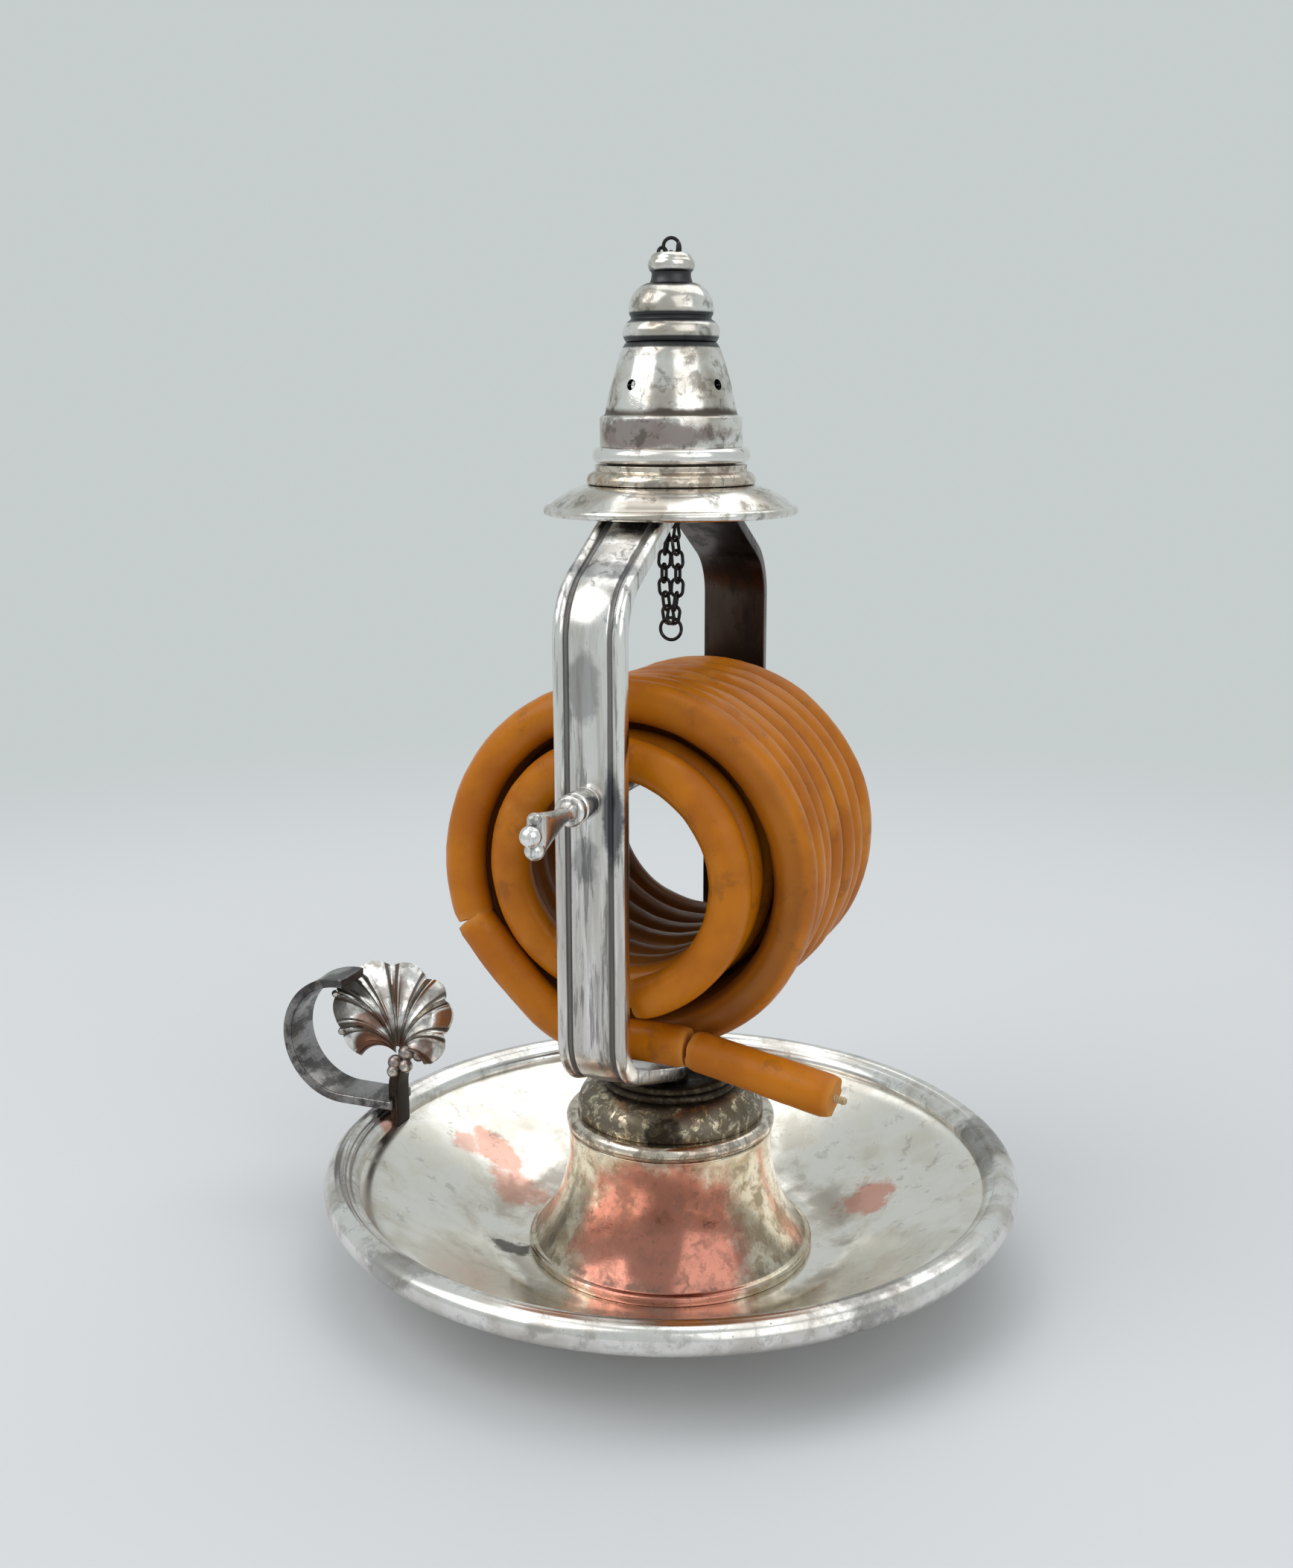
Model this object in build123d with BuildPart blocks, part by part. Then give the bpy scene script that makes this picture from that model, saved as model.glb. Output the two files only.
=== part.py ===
from build123d import *
import math
import os

# Old silver-plated copper wax jack. Millimetres, +Z up, origin at the middle of the tray's flat
# underside. The two uprights stand along Y, with the front one at -Y, and the handle points to -X.

# Tray: a dished saucer of rolled sheet
tray_sheet = 1.2
tray_flat_r = 23.0
dish_angle = 30.0
dish_bend_r = 11.6
dish_r = 44.8
band_w = 2.8
band_rise = 1.0
flange_w = 3.5

# Applied border of the tray: two reeds and an outer bead that wraps the edge
border_reed_rise = 2.2
border_crest_rise = 2.8
border_bead_w = 1.75
border_hook = 1.6
reed_swell = 0.45
reed_top_swell = 0.3
bead_swell = 0.45
hook_swell = 0.4

# Pedestal
foot_r = 22.0
foot_edge = 0.9
foot_lip = 2.4
foot_step = 0.9
foot_roll = 0.2
pedestal_top_r = 15.7
pedestal_top_z = 20.6
pedestal_sheet = 1.0
pedestal_waist = 0.8
moulding_r = 16.05
moulding_h = 2.3
moulding_swell = 0.7
shoulder_r = 14.2
shoulder_h = 4.7
shoulder_plate = 1.0
shoulder_swell = 1.3
shoulder_hollow = 1.1
neck_r = 10.3
neck_bore_r = 8.6
neck_h = 2.2
neck_waist = 0.45
neck_roll = 0.25

# Stirrup of two reeded straps
strap_w = 10.0
strap_t = 2.2
reed_w = 1.7
reed_depth = 0.65
panel_depth = 0.4
post_y = 30.0
foot_rise = 1.0
foot_in_y = 8.0
foot_angle = 19.0
foot_bend_r = 7.0
corner_bend_r = 9.0
arm_bend_r = 8.0
arm_in_y = 9.5
arm_angle = 29.5
stirrup_h = 85.8

# Stud in the neck: its waist carries the stirrup's feet and its heads hold them and the plate
stud_d = 3.0
stud_head_d = 5.4
stud_head_h = 1.0

# Drip pan and the nozzle that the lit end of the taper comes up through
pan_sheet = 0.9
pan_floor_r = 11.2
pan_r = 17.5
pan_drop = 3.2
pan_lip_d = 1.3
pan_dish = 0.6
collar_bore_r = 9.3
collar_r = 11.9
collar_h = 2.7
collar_swell = 0.35
nozzle_bore_d = 6.4
nozzle_wall = 0.9
nozzle_h = 9.5
nozzle_flange_r = 6.0
nozzle_flange_t = 0.7

# Lift-off cap
seat_gap = 0.3
cap_ring_r = 11.15
cap_ring_h = 2.1
cap_ring_swell = 0.65
cap_spigot_h = 1.8
cap_sheet = 0.8
band_r = 10.05
band_h = 4.1
cone_low_r = 9.3
cone_top_r = 7.35
cone_h = 8.0
cone_ease_h = 2.2
cone_ledge = 0.4
cone_swell = 0.15
neck_in_r = 6.3
bead_h = 3.3
cap_bead_swell = 0.75
bead_groove = 0.15
dome_r = 6.1
dome_h = 4.6
dome_swell = 1.0
finial_neck_r = 2.75
finial_r = 3.25
finial_h = 4.1
finial_waist = 0.12
finial_swell = 0.45
finial_crown = 0.2
cap_bore_r = 1.4
vent_d = 1.5
vent_up = 4.4
vent_turn = -110.0
vent_in_r = 4.5

# Spindle and thumb key
spindle_d = 3.0
spindle_play = 0.06
spindle_z = 78.0
spindle_tip = 2.0
key_collar_d = 4.2
key_collar_l = 6.4
key_neck_l = 1.6
key_head_l = 9.0
key_head_h = 6.4
key_head_t = 3.2
key_ball_d = 2.8

# Wax taper, wound in two layers and hung by its bore from the spindle
taper_d = 5.2
taper_pitch = 5.75
inner_turn_r = 17.2
outer_turn_r = 23.2
inner_turns = 7.5
coil_back_y = 19.3
coil_start_angle = -77.0
tail_slope = 7.5
tail_l = 34.5
wick_d = 1.0
wick_tip = 2.2

# Handle: a flat ring open at its top, a stalk, and the shell that is the thumb-piece
ring_w = 7.0
ring_t = 1.6
ring_r = 10.0
ring_out_x = 56.5
ring_sweep = 185.0
ring_seat = 0.15
strap_edge = 0.5
stalk_w = 4.3
stalk_rise = 2.5
stalk_bend = 35.0
shell_hinge_x = -45.2
shell_hinge_y = -0.5
shell_hinge_z = 26.4
shell_tilt = 30.0
shell_turn = 10.0
shell_lean = 20.0
shell_ribs = 7
shell_fan = 22.0
shell_l = 14.5
shell_wall = 0.8
rib_overlap = 1.12
hinge_bead_d = 2.6

# Chain
wire_d = 0.5
link_l = 3.1
link_w = 2.2
link_slack = 0.1
strand_links = 7
strand_spread = 16.0
join_r = 1.6
join_rise = 0.2
stop_rise = 0.85

os.makedirs("parts", exist_ok=True)


def bulge(start, end, rise):
    """Arc from start to end that stands `rise` off the chord, to the left of its direction."""
    run_x, run_y = end[0] - start[0], end[1] - start[1]
    chord = math.hypot(run_x, run_y)
    middle = (
        (start[0] + end[0]) / 2 - run_y / chord * rise,
        (start[1] + end[1]) / 2 + run_x / chord * rise,
    )
    return ThreePointArc(start, middle, end)


def save(piece, name):
    """Label a finished piece and write it under its own name."""
    piece.part.label = name
    export_step(piece.part, f"parts/{name}.step")


# Heights of the tray that the pieces on it are placed from
slope = math.radians(dish_angle)
dish_z = tray_sheet + dish_bend_r * (1 - math.cos(slope)) + (
    dish_r - tray_flat_r - dish_bend_r * math.sin(slope)
) * math.tan(slope)
flange_in_r = dish_r + band_w
flange_r = flange_in_r + flange_w
flange_z = dish_z + band_rise
crest_z = flange_z + border_crest_rise

with BuildPart() as tray:
    with BuildSketch(Plane.XZ):
        with BuildLine():
            floor_line = Line((0, tray_sheet), (tray_flat_r, tray_sheet))
            floor_bend = JernArc(floor_line @ 1, floor_line % 1, dish_bend_r, dish_angle)
            under_bend = JernArc((tray_flat_r, 0), (1, 0), dish_bend_r + tray_sheet, dish_angle)
            Polyline(
                floor_bend @ 1,
                (dish_r, dish_z),
                (flange_in_r, flange_z),
                (flange_r, flange_z),
                (flange_r, flange_z - tray_sheet),
                (flange_in_r, flange_z - tray_sheet),
                (dish_r + tray_sheet * math.sin(slope), dish_z - tray_sheet * math.cos(slope)),
                under_bend @ 1,
            )
            Polyline((tray_flat_r, 0), (0, 0), (0, tray_sheet))
        make_face()
    revolve(axis=Axis.Z)
save(tray, "tray")

with BuildPart() as tray_border:
    with BuildSketch(Plane.XZ):
        with BuildLine():
            reed_in = (flange_in_r, flange_z)
            reed_split = (flange_in_r + flange_w * 0.45, flange_z + border_reed_rise)
            bead_split = (flange_r - 0.2, crest_z - 0.15)
            bead_out = (flange_r + border_bead_w, flange_z + border_hook * 0.6)
            bead_low = (flange_r + border_bead_w * 0.4, flange_z - border_hook)
            bulge(reed_in, reed_split, reed_swell)
            bulge(reed_split, bead_split, reed_top_swell)
            bulge(bead_split, bead_out, bead_swell)
            bulge(bead_out, bead_low, hook_swell)
            Polyline(bead_low, (flange_r, flange_z - tray_sheet), (flange_r, flange_z), reed_in)
        make_face()
    revolve(axis=Axis.Z)
save(tray_border, "tray_border")

moulding_z = pedestal_top_z
shoulder_z = moulding_z + moulding_h
plate_z = shoulder_z + shoulder_h
neck_top_z = plate_z + neck_h

with BuildPart() as pedestal:
    with BuildSketch(Plane.XZ):
        with BuildLine():
            foot_top = (foot_r - foot_step, tray_sheet + foot_edge + foot_step * 0.7)
            wall_top = (pedestal_top_r, pedestal_top_z)
            Polyline(
                (foot_r - foot_lip, tray_sheet), (foot_r, tray_sheet), (foot_r, tray_sheet + foot_edge)
            )
            bulge((foot_r, tray_sheet + foot_edge), foot_top, -foot_roll)
            bulge(foot_top, wall_top, pedestal_waist)
            Polyline(wall_top, (pedestal_top_r - pedestal_sheet, pedestal_top_z))
            bulge(
                (pedestal_top_r - pedestal_sheet, pedestal_top_z),
                (foot_r - foot_lip, tray_sheet),
                -pedestal_waist,
            )
        make_face()
    revolve(axis=Axis.Z)
save(pedestal, "pedestal")

with BuildPart() as pedestal_moulding:
    with BuildSketch(Plane.XZ):
        with BuildLine():
            ring_low = (moulding_r - 0.6, moulding_z)
            ring_high = (moulding_r - 0.9, shoulder_z)
            inner_r = shoulder_r - pedestal_sheet
            bulge(ring_low, ring_high, -moulding_swell)
            Polyline(ring_high, (inner_r, shoulder_z), (inner_r, moulding_z), ring_low)
        make_face()
    revolve(axis=Axis.Z)
save(pedestal_moulding, "pedestal_moulding")

with BuildPart() as pedestal_shoulder:
    with BuildSketch(Plane.XZ):
        with BuildLine():
            dome_foot = (shoulder_r, shoulder_z)
            dome_top = (neck_r + 0.2, plate_z)
            under = plate_z - shoulder_plate
            bulge(dome_foot, dome_top, -shoulder_swell)
            Polyline(
                dome_top, (stud_d / 2, plate_z), (stud_d / 2, under), (neck_r - 0.4, under)
            )
            bulge((neck_r - 0.4, under), (shoulder_r - pedestal_sheet, shoulder_z), shoulder_hollow)
            Line((shoulder_r - pedestal_sheet, shoulder_z), dome_foot)
        make_face()
    revolve(axis=Axis.Z)
save(pedestal_shoulder, "pedestal_shoulder")

with BuildPart() as neck_collar:
    with BuildSketch(Plane.XZ):
        with BuildLine():
            rim_low = (neck_r, plate_z + neck_h * 0.6)
            rim_high = (neck_r - 0.5, neck_top_z)
            bulge((neck_r, plate_z), rim_low, neck_waist)
            bulge(rim_low, rim_high, -neck_roll)
            Polyline(
                rim_high, (neck_bore_r, neck_top_z), (neck_bore_r, plate_z), (neck_r, plate_z)
            )
        make_face()
    revolve(axis=Axis.Z)
save(neck_collar, "neck_collar")

# Stirrup: each strap runs from the stud in the neck, out, up, and in under the pan
foot_bar_z = neck_top_z + foot_rise + strap_t / 2
head_bar_z = foot_bar_z + stirrup_h - strap_t
pan_z = head_bar_z + strap_t / 2
heel_z = foot_bar_z + (post_y - foot_in_y) * math.tan(math.radians(foot_angle))
heel_cut = foot_bend_r * math.tan(math.radians((90 - foot_angle) / 2))
instep_cut = arm_bend_r * math.tan(math.radians(foot_angle / 2))
corner_z = head_bar_z - (post_y - arm_in_y) * math.tan(math.radians(arm_angle))
half_w = strap_w / 2

with BuildPart() as frame_strap_front:
    with BuildLine(Plane.YZ) as strap_path:
        foot_run = Line((0, foot_bar_z), (-(foot_in_y - instep_cut), foot_bar_z))
        instep = JernArc(foot_run @ 1, foot_run % 1, arm_bend_r, -foot_angle)
        heel = (
            -post_y + heel_cut * math.cos(math.radians(foot_angle)),
            heel_z - heel_cut * math.sin(math.radians(foot_angle)),
        )
        foot_arm = Line(instep @ 1, heel)
        foot_bend = JernArc(foot_arm @ 1, foot_arm % 1, foot_bend_r, -(90 - foot_angle))
        corner_cut = corner_bend_r * math.tan(math.radians((90 - arm_angle) / 2))
        post_run = Line(foot_bend @ 1, (-post_y, corner_z - corner_cut))
        corner_bend = JernArc(post_run @ 1, post_run % 1, corner_bend_r, -(90 - arm_angle))
        head_cut = arm_bend_r * math.tan(math.radians(arm_angle / 2))
        arm_end = (
            -arm_in_y - head_cut * math.cos(math.radians(arm_angle)),
            head_bar_z - head_cut * math.sin(math.radians(arm_angle)),
        )
        arm_run = Line(corner_bend @ 1, arm_end)
        arm_bend = JernArc(arm_run @ 1, arm_run % 1, arm_bend_r, -arm_angle)
        Line(arm_bend @ 1, (0, head_bar_z))
    with BuildSketch(Plane(origin=(0, 0, foot_bar_z), x_dir=(1, 0, 0), z_dir=(0, -1, 0))):
        with BuildLine():
            face_y = -strap_t / 2
            reed_y = face_y + reed_depth
            panel_y = face_y + panel_depth
            panel_x = half_w - reed_w - 0.7
            groove_x = half_w - reed_w - 0.35
            Polyline(
                (-half_w, reed_y), (-half_w, strap_t / 2), (half_w, strap_t / 2), (half_w, reed_y)
            )
            for side in (-1, 1):
                ThreePointArc(
                    (side * half_w, reed_y),
                    (side * (half_w - reed_w / 2), face_y),
                    (side * (half_w - reed_w), reed_y),
                )
                Polyline(
                    (side * (half_w - reed_w), reed_y),
                    (side * groove_x, reed_y + 0.1),
                    (side * panel_x, panel_y),
                )
            Line((-panel_x, panel_y), (panel_x, panel_y))
        make_face()
    sweep(path=strap_path.wires()[0])
    with BuildSketch(Plane.XZ):
        with Locations((0, spindle_z)):
            Circle(spindle_d / 2 + spindle_play)
    extrude(amount=post_y + strap_t, both=True, mode=Mode.SUBTRACT)
    with BuildSketch(Plane.XY.offset(foot_bar_z)):
        Circle(stud_d / 2)
    extrude(amount=strap_t, both=True, mode=Mode.SUBTRACT)
    with BuildSketch(Plane.XY.offset(head_bar_z)):
        Circle(nozzle_bore_d / 2)
    extrude(amount=strap_t, both=True, mode=Mode.SUBTRACT)
save(frame_strap_front, "frame_strap_front")

with BuildPart() as frame_strap_back:
    add(mirror(frame_strap_front.part, about=Plane.XZ))
save(frame_strap_back, "frame_strap_back")

with BuildPart() as frame_stud:
    with BuildSketch(Plane.XZ):
        with BuildLine():
            stud_low = plate_z - shoulder_plate
            stud_high = foot_bar_z + strap_t / 2
            Polyline(
                (0, stud_high + stud_head_h),
                (0, stud_low - stud_head_h),
                (stud_head_d / 2, stud_low - stud_head_h),
                (stud_head_d / 2, stud_low),
                (stud_d / 2, stud_low),
                (stud_d / 2, plate_z),
                (stud_head_d / 2, plate_z),
                (stud_head_d / 2, foot_bar_z - strap_t / 2),
                (stud_d / 2, foot_bar_z - strap_t / 2),
                (stud_d / 2, stud_high),
                (stud_head_d / 2, stud_high),
            )
            TangentArc(
                (0, stud_high + stud_head_h), (stud_head_d / 2, stud_high), tangent=(1, 0)
            )
        make_face()
    revolve(axis=Axis.Z)
save(frame_stud, "frame_stud")

# Drip pan on the top of the stirrup
pan_floor_z = pan_z + pan_sheet
nozzle_r = nozzle_bore_d / 2 + nozzle_wall
collar_top_z = pan_floor_z + collar_h

with BuildPart() as pan:
    with BuildSketch(Plane.XZ):
        with BuildLine():
            Line((nozzle_r, pan_floor_z), (pan_floor_r, pan_floor_z))
            bulge((pan_floor_r, pan_floor_z), (pan_r, pan_floor_z - pan_drop), pan_dish)
            offset(amount=pan_sheet, side=Side.RIGHT)
        make_face()
        with Locations((pan_r, pan_floor_z - pan_drop - pan_sheet / 2)):
            Circle(pan_lip_d / 2)
    revolve(axis=Axis.Z)
save(pan, "pan")

with BuildPart() as pan_collar:
    with BuildSketch(Plane.XZ):
        with BuildLine():
            roll_top = (collar_r - 0.7, pan_floor_z + collar_h * 0.6)
            bulge((collar_r, pan_floor_z), roll_top, -collar_swell)
            Polyline(
                roll_top,
                (collar_r - 1.2, pan_floor_z + collar_h * 0.7),
                (collar_r - 1.1, collar_top_z),
                (collar_bore_r, collar_top_z),
                (collar_bore_r, pan_floor_z),
                (collar_r, pan_floor_z),
            )
        make_face()
    revolve(axis=Axis.Z)
save(pan_collar, "pan_collar")

with BuildPart() as nozzle_tube:
    with BuildSketch(Plane.XZ):
        with BuildLine():
            bore_r = nozzle_bore_d / 2
            flange_top = pan_floor_z + nozzle_flange_t
            Polyline(
                (bore_r, pan_z),
                (nozzle_r, pan_z),
                (nozzle_r, pan_floor_z),
                (nozzle_flange_r, pan_floor_z),
                (nozzle_flange_r, flange_top),
                (nozzle_r, flange_top),
                (nozzle_r - 0.2, pan_floor_z + nozzle_h),
                (bore_r, pan_floor_z + nozzle_h),
                close=True,
            )
        make_face()
    revolve(axis=Axis.Z)
save(nozzle_tube, "nozzle_tube")

# Lift-off cap
cap_z = collar_top_z + seat_gap
band_z = cap_z + cap_ring_h
cone_z = band_z + band_h
cone_top_z = cone_z + cone_h
bead_z = cone_top_z + cone_ease_h
dome_z = bead_z + bead_h
finial_z = dome_z + dome_h
cap_top_z = finial_z + finial_h

with BuildPart() as cap_base_ring:
    with BuildSketch(Plane.XZ):
        with BuildLine():
            spigot_r = collar_bore_r - seat_gap
            ring_foot = (cap_ring_r - 0.5, cap_z)
            ring_head = (cap_ring_r - 0.8, band_z)
            bulge(ring_foot, ring_head, -cap_ring_swell)
            Polyline(
                ring_head,
                (spigot_r - cap_sheet, band_z),
                (spigot_r - cap_sheet, cap_z - cap_spigot_h),
                (spigot_r, cap_z - cap_spigot_h),
                (spigot_r, cap_z),
                ring_foot,
            )
        make_face()
    revolve(axis=Axis.Z)
save(cap_base_ring, "cap_base_ring")

with BuildPart() as cap_cone:
    with BuildSketch(Plane.XZ):
        with BuildLine():
            ledge = (cone_low_r, cone_z + cone_ledge)
            cone_head = (cone_top_r, cone_top_z)
            inner_ledge = (cone_low_r - cap_sheet, cone_z)
            inner_head = (cone_top_r - cap_sheet, cone_top_z)
            Polyline((band_r, band_z), (band_r, cone_z), ledge)
            bulge(ledge, cone_head, -cone_swell)
            bulge(cone_head, (neck_in_r, bead_z), -cone_swell)
            Line((neck_in_r, bead_z), (neck_in_r - cap_sheet, bead_z))
            bulge((neck_in_r - cap_sheet, bead_z), inner_head, cone_swell)
            bulge(inner_head, inner_ledge, cone_swell)
            Polyline(
                inner_ledge,
                (band_r - cap_sheet, cone_z - cone_ledge),
                (band_r - cap_sheet, band_z),
                (band_r, band_z),
            )
        make_face()
    revolve(axis=Axis.Z)
    with Locations((0, 0, cone_z + vent_up)):
        with PolarLocations(vent_in_r, 4, start_angle=vent_turn):
            Cylinder(
                vent_d / 2,
                band_r - vent_in_r,
                rotation=(0, 90, 0),
                align=(Align.CENTER, Align.CENTER, Align.MIN),
                mode=Mode.SUBTRACT,
            )
save(cap_cone, "cap_cone")

with BuildPart() as cap_dome:
    with BuildSketch(Plane.XZ):
        with BuildLine():
            bead_top = (dome_r - 0.4, dome_z - 0.3)
            dome_start = (dome_r - 0.3, dome_z + 0.3)
            dome_end = (finial_neck_r + 0.6, finial_z)
            bulge((neck_in_r, bead_z), bead_top, -cap_bead_swell)
            bulge(bead_top, dome_start, bead_groove)
            bulge(dome_start, dome_end, -dome_swell)
            Polyline(
                dome_end,
                (cap_bore_r, finial_z),
                (cap_bore_r, finial_z - cap_sheet),
                (dome_r - 2.6, dome_z + dome_h * 0.5),
                (neck_in_r - cap_sheet, bead_z),
                (neck_in_r, bead_z),
            )
        make_face()
    revolve(axis=Axis.Z)
save(cap_dome, "cap_dome")

with BuildPart() as cap_finial:
    with BuildSketch(Plane.XZ):
        with BuildLine():
            stem_top = (finial_neck_r, finial_z + finial_h * 0.35)
            ball_top = (cap_bore_r + 0.5, cap_top_z)
            bulge((finial_neck_r + 0.3, finial_z), stem_top, finial_waist)
            bulge(stem_top, (finial_r - 0.35, finial_z + finial_h * 0.8), -finial_swell)
            bulge((finial_r - 0.35, finial_z + finial_h * 0.8), ball_top, -finial_crown)
            Polyline(
                ball_top, (cap_bore_r, cap_top_z), (cap_bore_r, finial_z), (finial_neck_r + 0.3, finial_z)
            )
        make_face()
    revolve(axis=Axis.Z)
save(cap_finial, "cap_finial")

# Spindle across the stirrup, with its thumb key in front
post_face_y = -(post_y + strap_t / 2 - panel_depth)
collar_y = post_face_y - seat_gap
key_y = collar_y - key_collar_l
head_y = key_y - key_neck_l
rod_back_y = post_y + strap_t / 2 + spindle_tip

with BuildPart() as spindle_rod:
    with BuildSketch(Plane.XZ.offset(-rod_back_y)):
        with Locations((0, spindle_z)):
            Circle(spindle_d / 2)
    extrude(amount=rod_back_y - collar_y)
    fillet(spindle_rod.edges().group_by(Axis.Y)[-1], spindle_d * 0.3)
save(spindle_rod, "spindle_rod")

with BuildPart() as spindle_collar:
    with BuildSketch(Plane.XZ.offset(-collar_y)):
        with Locations((0, spindle_z)):
            Circle(key_collar_d / 2)
    extrude(amount=key_collar_l)
    chamfer(spindle_collar.edges(), 0.4)
save(spindle_collar, "spindle_collar")

with BuildPart() as thumb_key:
    with BuildSketch(Plane.YZ.offset(-key_head_t / 2)):
        with BuildLine():
            tip_y = head_y - key_head_l
            key_root = (head_y, spindle_z - key_collar_d / 4)
            key_crown = (head_y, spindle_z + key_collar_d / 4)
            key_low = (tip_y, spindle_z - key_head_h * 0.32)
            key_high = (tip_y, spindle_z + key_head_h * 0.32)
            Line(key_root, key_crown)
            bulge(key_crown, key_high, key_head_h * -0.28)
            bulge(key_high, key_low, key_head_h * -0.16)
            bulge(key_low, key_root, key_head_h * -0.28)
        make_face()
    extrude(amount=key_head_t)
    fillet(thumb_key.faces().sort_by(Axis.X)[-1].edges(), key_head_t * 0.25)
    fillet(thumb_key.faces().sort_by(Axis.X)[0].edges(), key_head_t * 0.25)
    with BuildSketch(Plane.XZ.offset(-key_y)):
        with Locations((0, spindle_z)):
            Circle(key_collar_d * 0.32)
    extrude(amount=key_neck_l + key_head_l * 0.2)
    with Locations((0, tip_y - key_ball_d * 0.2, spindle_z)):
        Sphere(key_ball_d / 2)
save(thumb_key, "thumb_key")

# The wax taper: an inner layer wound to the back, an outer layer wound to the front, and a
# straight tail. Its bore hangs on top of the spindle, so its middle is below the spindle's.
coil_z = spindle_z + spindle_d / 2 + seat_gap - (inner_turn_r - taper_d / 2)
inner_halves = round(inner_turns * 2)


def turn_point(angle, radius, y):
    """Point on a turn of the winding, at an angle from +X towards +Z."""
    return Vector(
        radius * math.cos(math.radians(angle)), y, coil_z + radius * math.sin(math.radians(angle))
    )


def turn_heading(angle, radius, advance):
    """Direction of the taper there, where `advance` is its travel along Y in a whole turn."""
    around = 2 * math.pi * radius
    return Vector(
        -around * math.sin(math.radians(angle)), advance, around * math.cos(math.radians(angle))
    ).normalized()


def biarc(start, start_way, end, end_way):
    """Two arcs that join start to end and keep both directions."""
    span = end - start
    both = start_way + end_way
    scale = 2 * (1 - start_way.dot(end_way))
    lean = span.dot(both)
    reach = (math.sqrt(lean**2 + scale * span.dot(span)) - lean) / scale
    middle = (start + end + (start_way - end_way) * reach) * 0.5
    first = TangentArc(start, middle, tangent=start_way)
    return first, TangentArc(middle, end, tangent=first % 1)


stations = []
for half in range(inner_halves + 1):
    angle = coil_start_angle + 180 * half
    y = coil_back_y - taper_pitch / 2 * (inner_halves - half)
    stations.append(
        (turn_point(angle, inner_turn_r, y), turn_heading(angle, inner_turn_r, taper_pitch))
    )
climb_end = coil_start_angle + 180 * (inner_halves + 1)
tail_angle = -90.0 - tail_slope
outer_sweep = (tail_angle - climb_end) % 360 + 360 * int(inner_turns - 1.5)
outer_halves = int(outer_sweep // 180)
outer_steps = [180 * half for half in range(outer_halves + 1)] + [outer_sweep]
for turned in outer_steps:
    angle = climb_end + turned
    y = coil_back_y - taper_pitch * turned / 360
    stations.append(
        (turn_point(angle, outer_turn_r, y), turn_heading(angle, outer_turn_r, -taper_pitch))
    )

with BuildPart() as wax_taper:
    with BuildLine() as taper_path:
        first_point, first_way = stations[0]
        Line(first_point - first_way * taper_d, first_point)
        for (start, start_way), (end, end_way) in zip(stations, stations[1:]):
            biarc(start, start_way, end, end_way)
        last_point, last_way = stations[-1]
        Line(last_point, last_point + last_way * tail_l)
    taper_wire = taper_path.wires()[0]
    with BuildSketch(Plane(origin=first_point - first_way * taper_d, z_dir=first_way)):
        Circle(taper_d / 2)
    sweep(path=taper_wire)
save(wax_taper, "wax_taper")

samples = 900
run_step = taper_wire.length / samples
route = [taper_wire.position_at(index / samples) for index in range(samples + 1)]
apart = math.ceil(taper_d * 2.5 / run_step)
least = min(
    (route[near] - route[far]).length
    for near in range(samples + 1)
    for far in range(near + apart, samples + 1)
)
print(f"least gap of the wax taper to itself: {least - taper_d:.2f} mm")
print(f"half turns: {len(stations) - 1}, length of the wax taper: {taper_wire.length:.0f} mm")

with BuildPart() as taper_wick:
    with BuildSketch(Plane(origin=last_point + last_way * tail_l, z_dir=last_way)):
        Circle(wick_d / 2)
    extrude(amount=wick_tip)
save(taper_wick, "taper_wick")

# Handle on the tray's border: a C-shaped strap, a stalk and the shell that closes the loop
ring_low_z = crest_z + ring_t / 2 + ring_seat
leg_x = -(ring_out_x - ring_r)
leg_foot_z = flange_z - 0.1

with BuildPart() as handle_ring:
    with BuildLine(Plane.XZ) as ring_path:
        ring_run = Line((leg_x - ring_t / 2 - ring_seat, ring_low_z), (-ring_out_x, ring_low_z))
        JernArc(ring_run @ 1, ring_run % 1, ring_r, -ring_sweep)
    with BuildSketch(Plane(origin=ring_path.wires()[0] @ 0, x_dir=(0, 1, 0), z_dir=(-1, 0, 0))):
        RectangleRounded(ring_w, ring_t, strap_edge)
    sweep(path=ring_path.wires()[0])
save(handle_ring, "handle_ring")

hinge_z = ring_low_z + ring_r * 0.9
with BuildPart() as handle_stalk:
    with BuildLine(Plane.XZ) as stalk_path:
        stalk_run = Line((leg_x, leg_foot_z), (leg_x, ring_low_z + stalk_rise))
        JernArc(stalk_run @ 1, stalk_run % 1, hinge_z - ring_low_z - stalk_rise, -stalk_bend)
    with BuildSketch(Plane(origin=(leg_x, 0, leg_foot_z), x_dir=(0, 1, 0), z_dir=(0, 0, 1))):
        RectangleRounded(stalk_w, ring_t, strap_edge)
    sweep(path=stalk_path.wires()[0])
save(handle_stalk, "handle_stalk")

shell_hinge = Vector(shell_hinge_x, shell_hinge_y, shell_hinge_z)
facing = Vector(
    math.sin(math.radians(shell_turn)) * math.cos(math.radians(shell_tilt)),
    -math.cos(math.radians(shell_turn)) * math.cos(math.radians(shell_tilt)),
    math.sin(math.radians(shell_tilt)),
)
level = Vector(math.cos(math.radians(shell_turn)), math.sin(math.radians(shell_turn)), 0)
shell_x = level.rotate(Axis((0, 0, 0), facing), shell_lean)
shell_plane = Plane(origin=shell_hinge, x_dir=shell_x, z_dir=facing)

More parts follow.
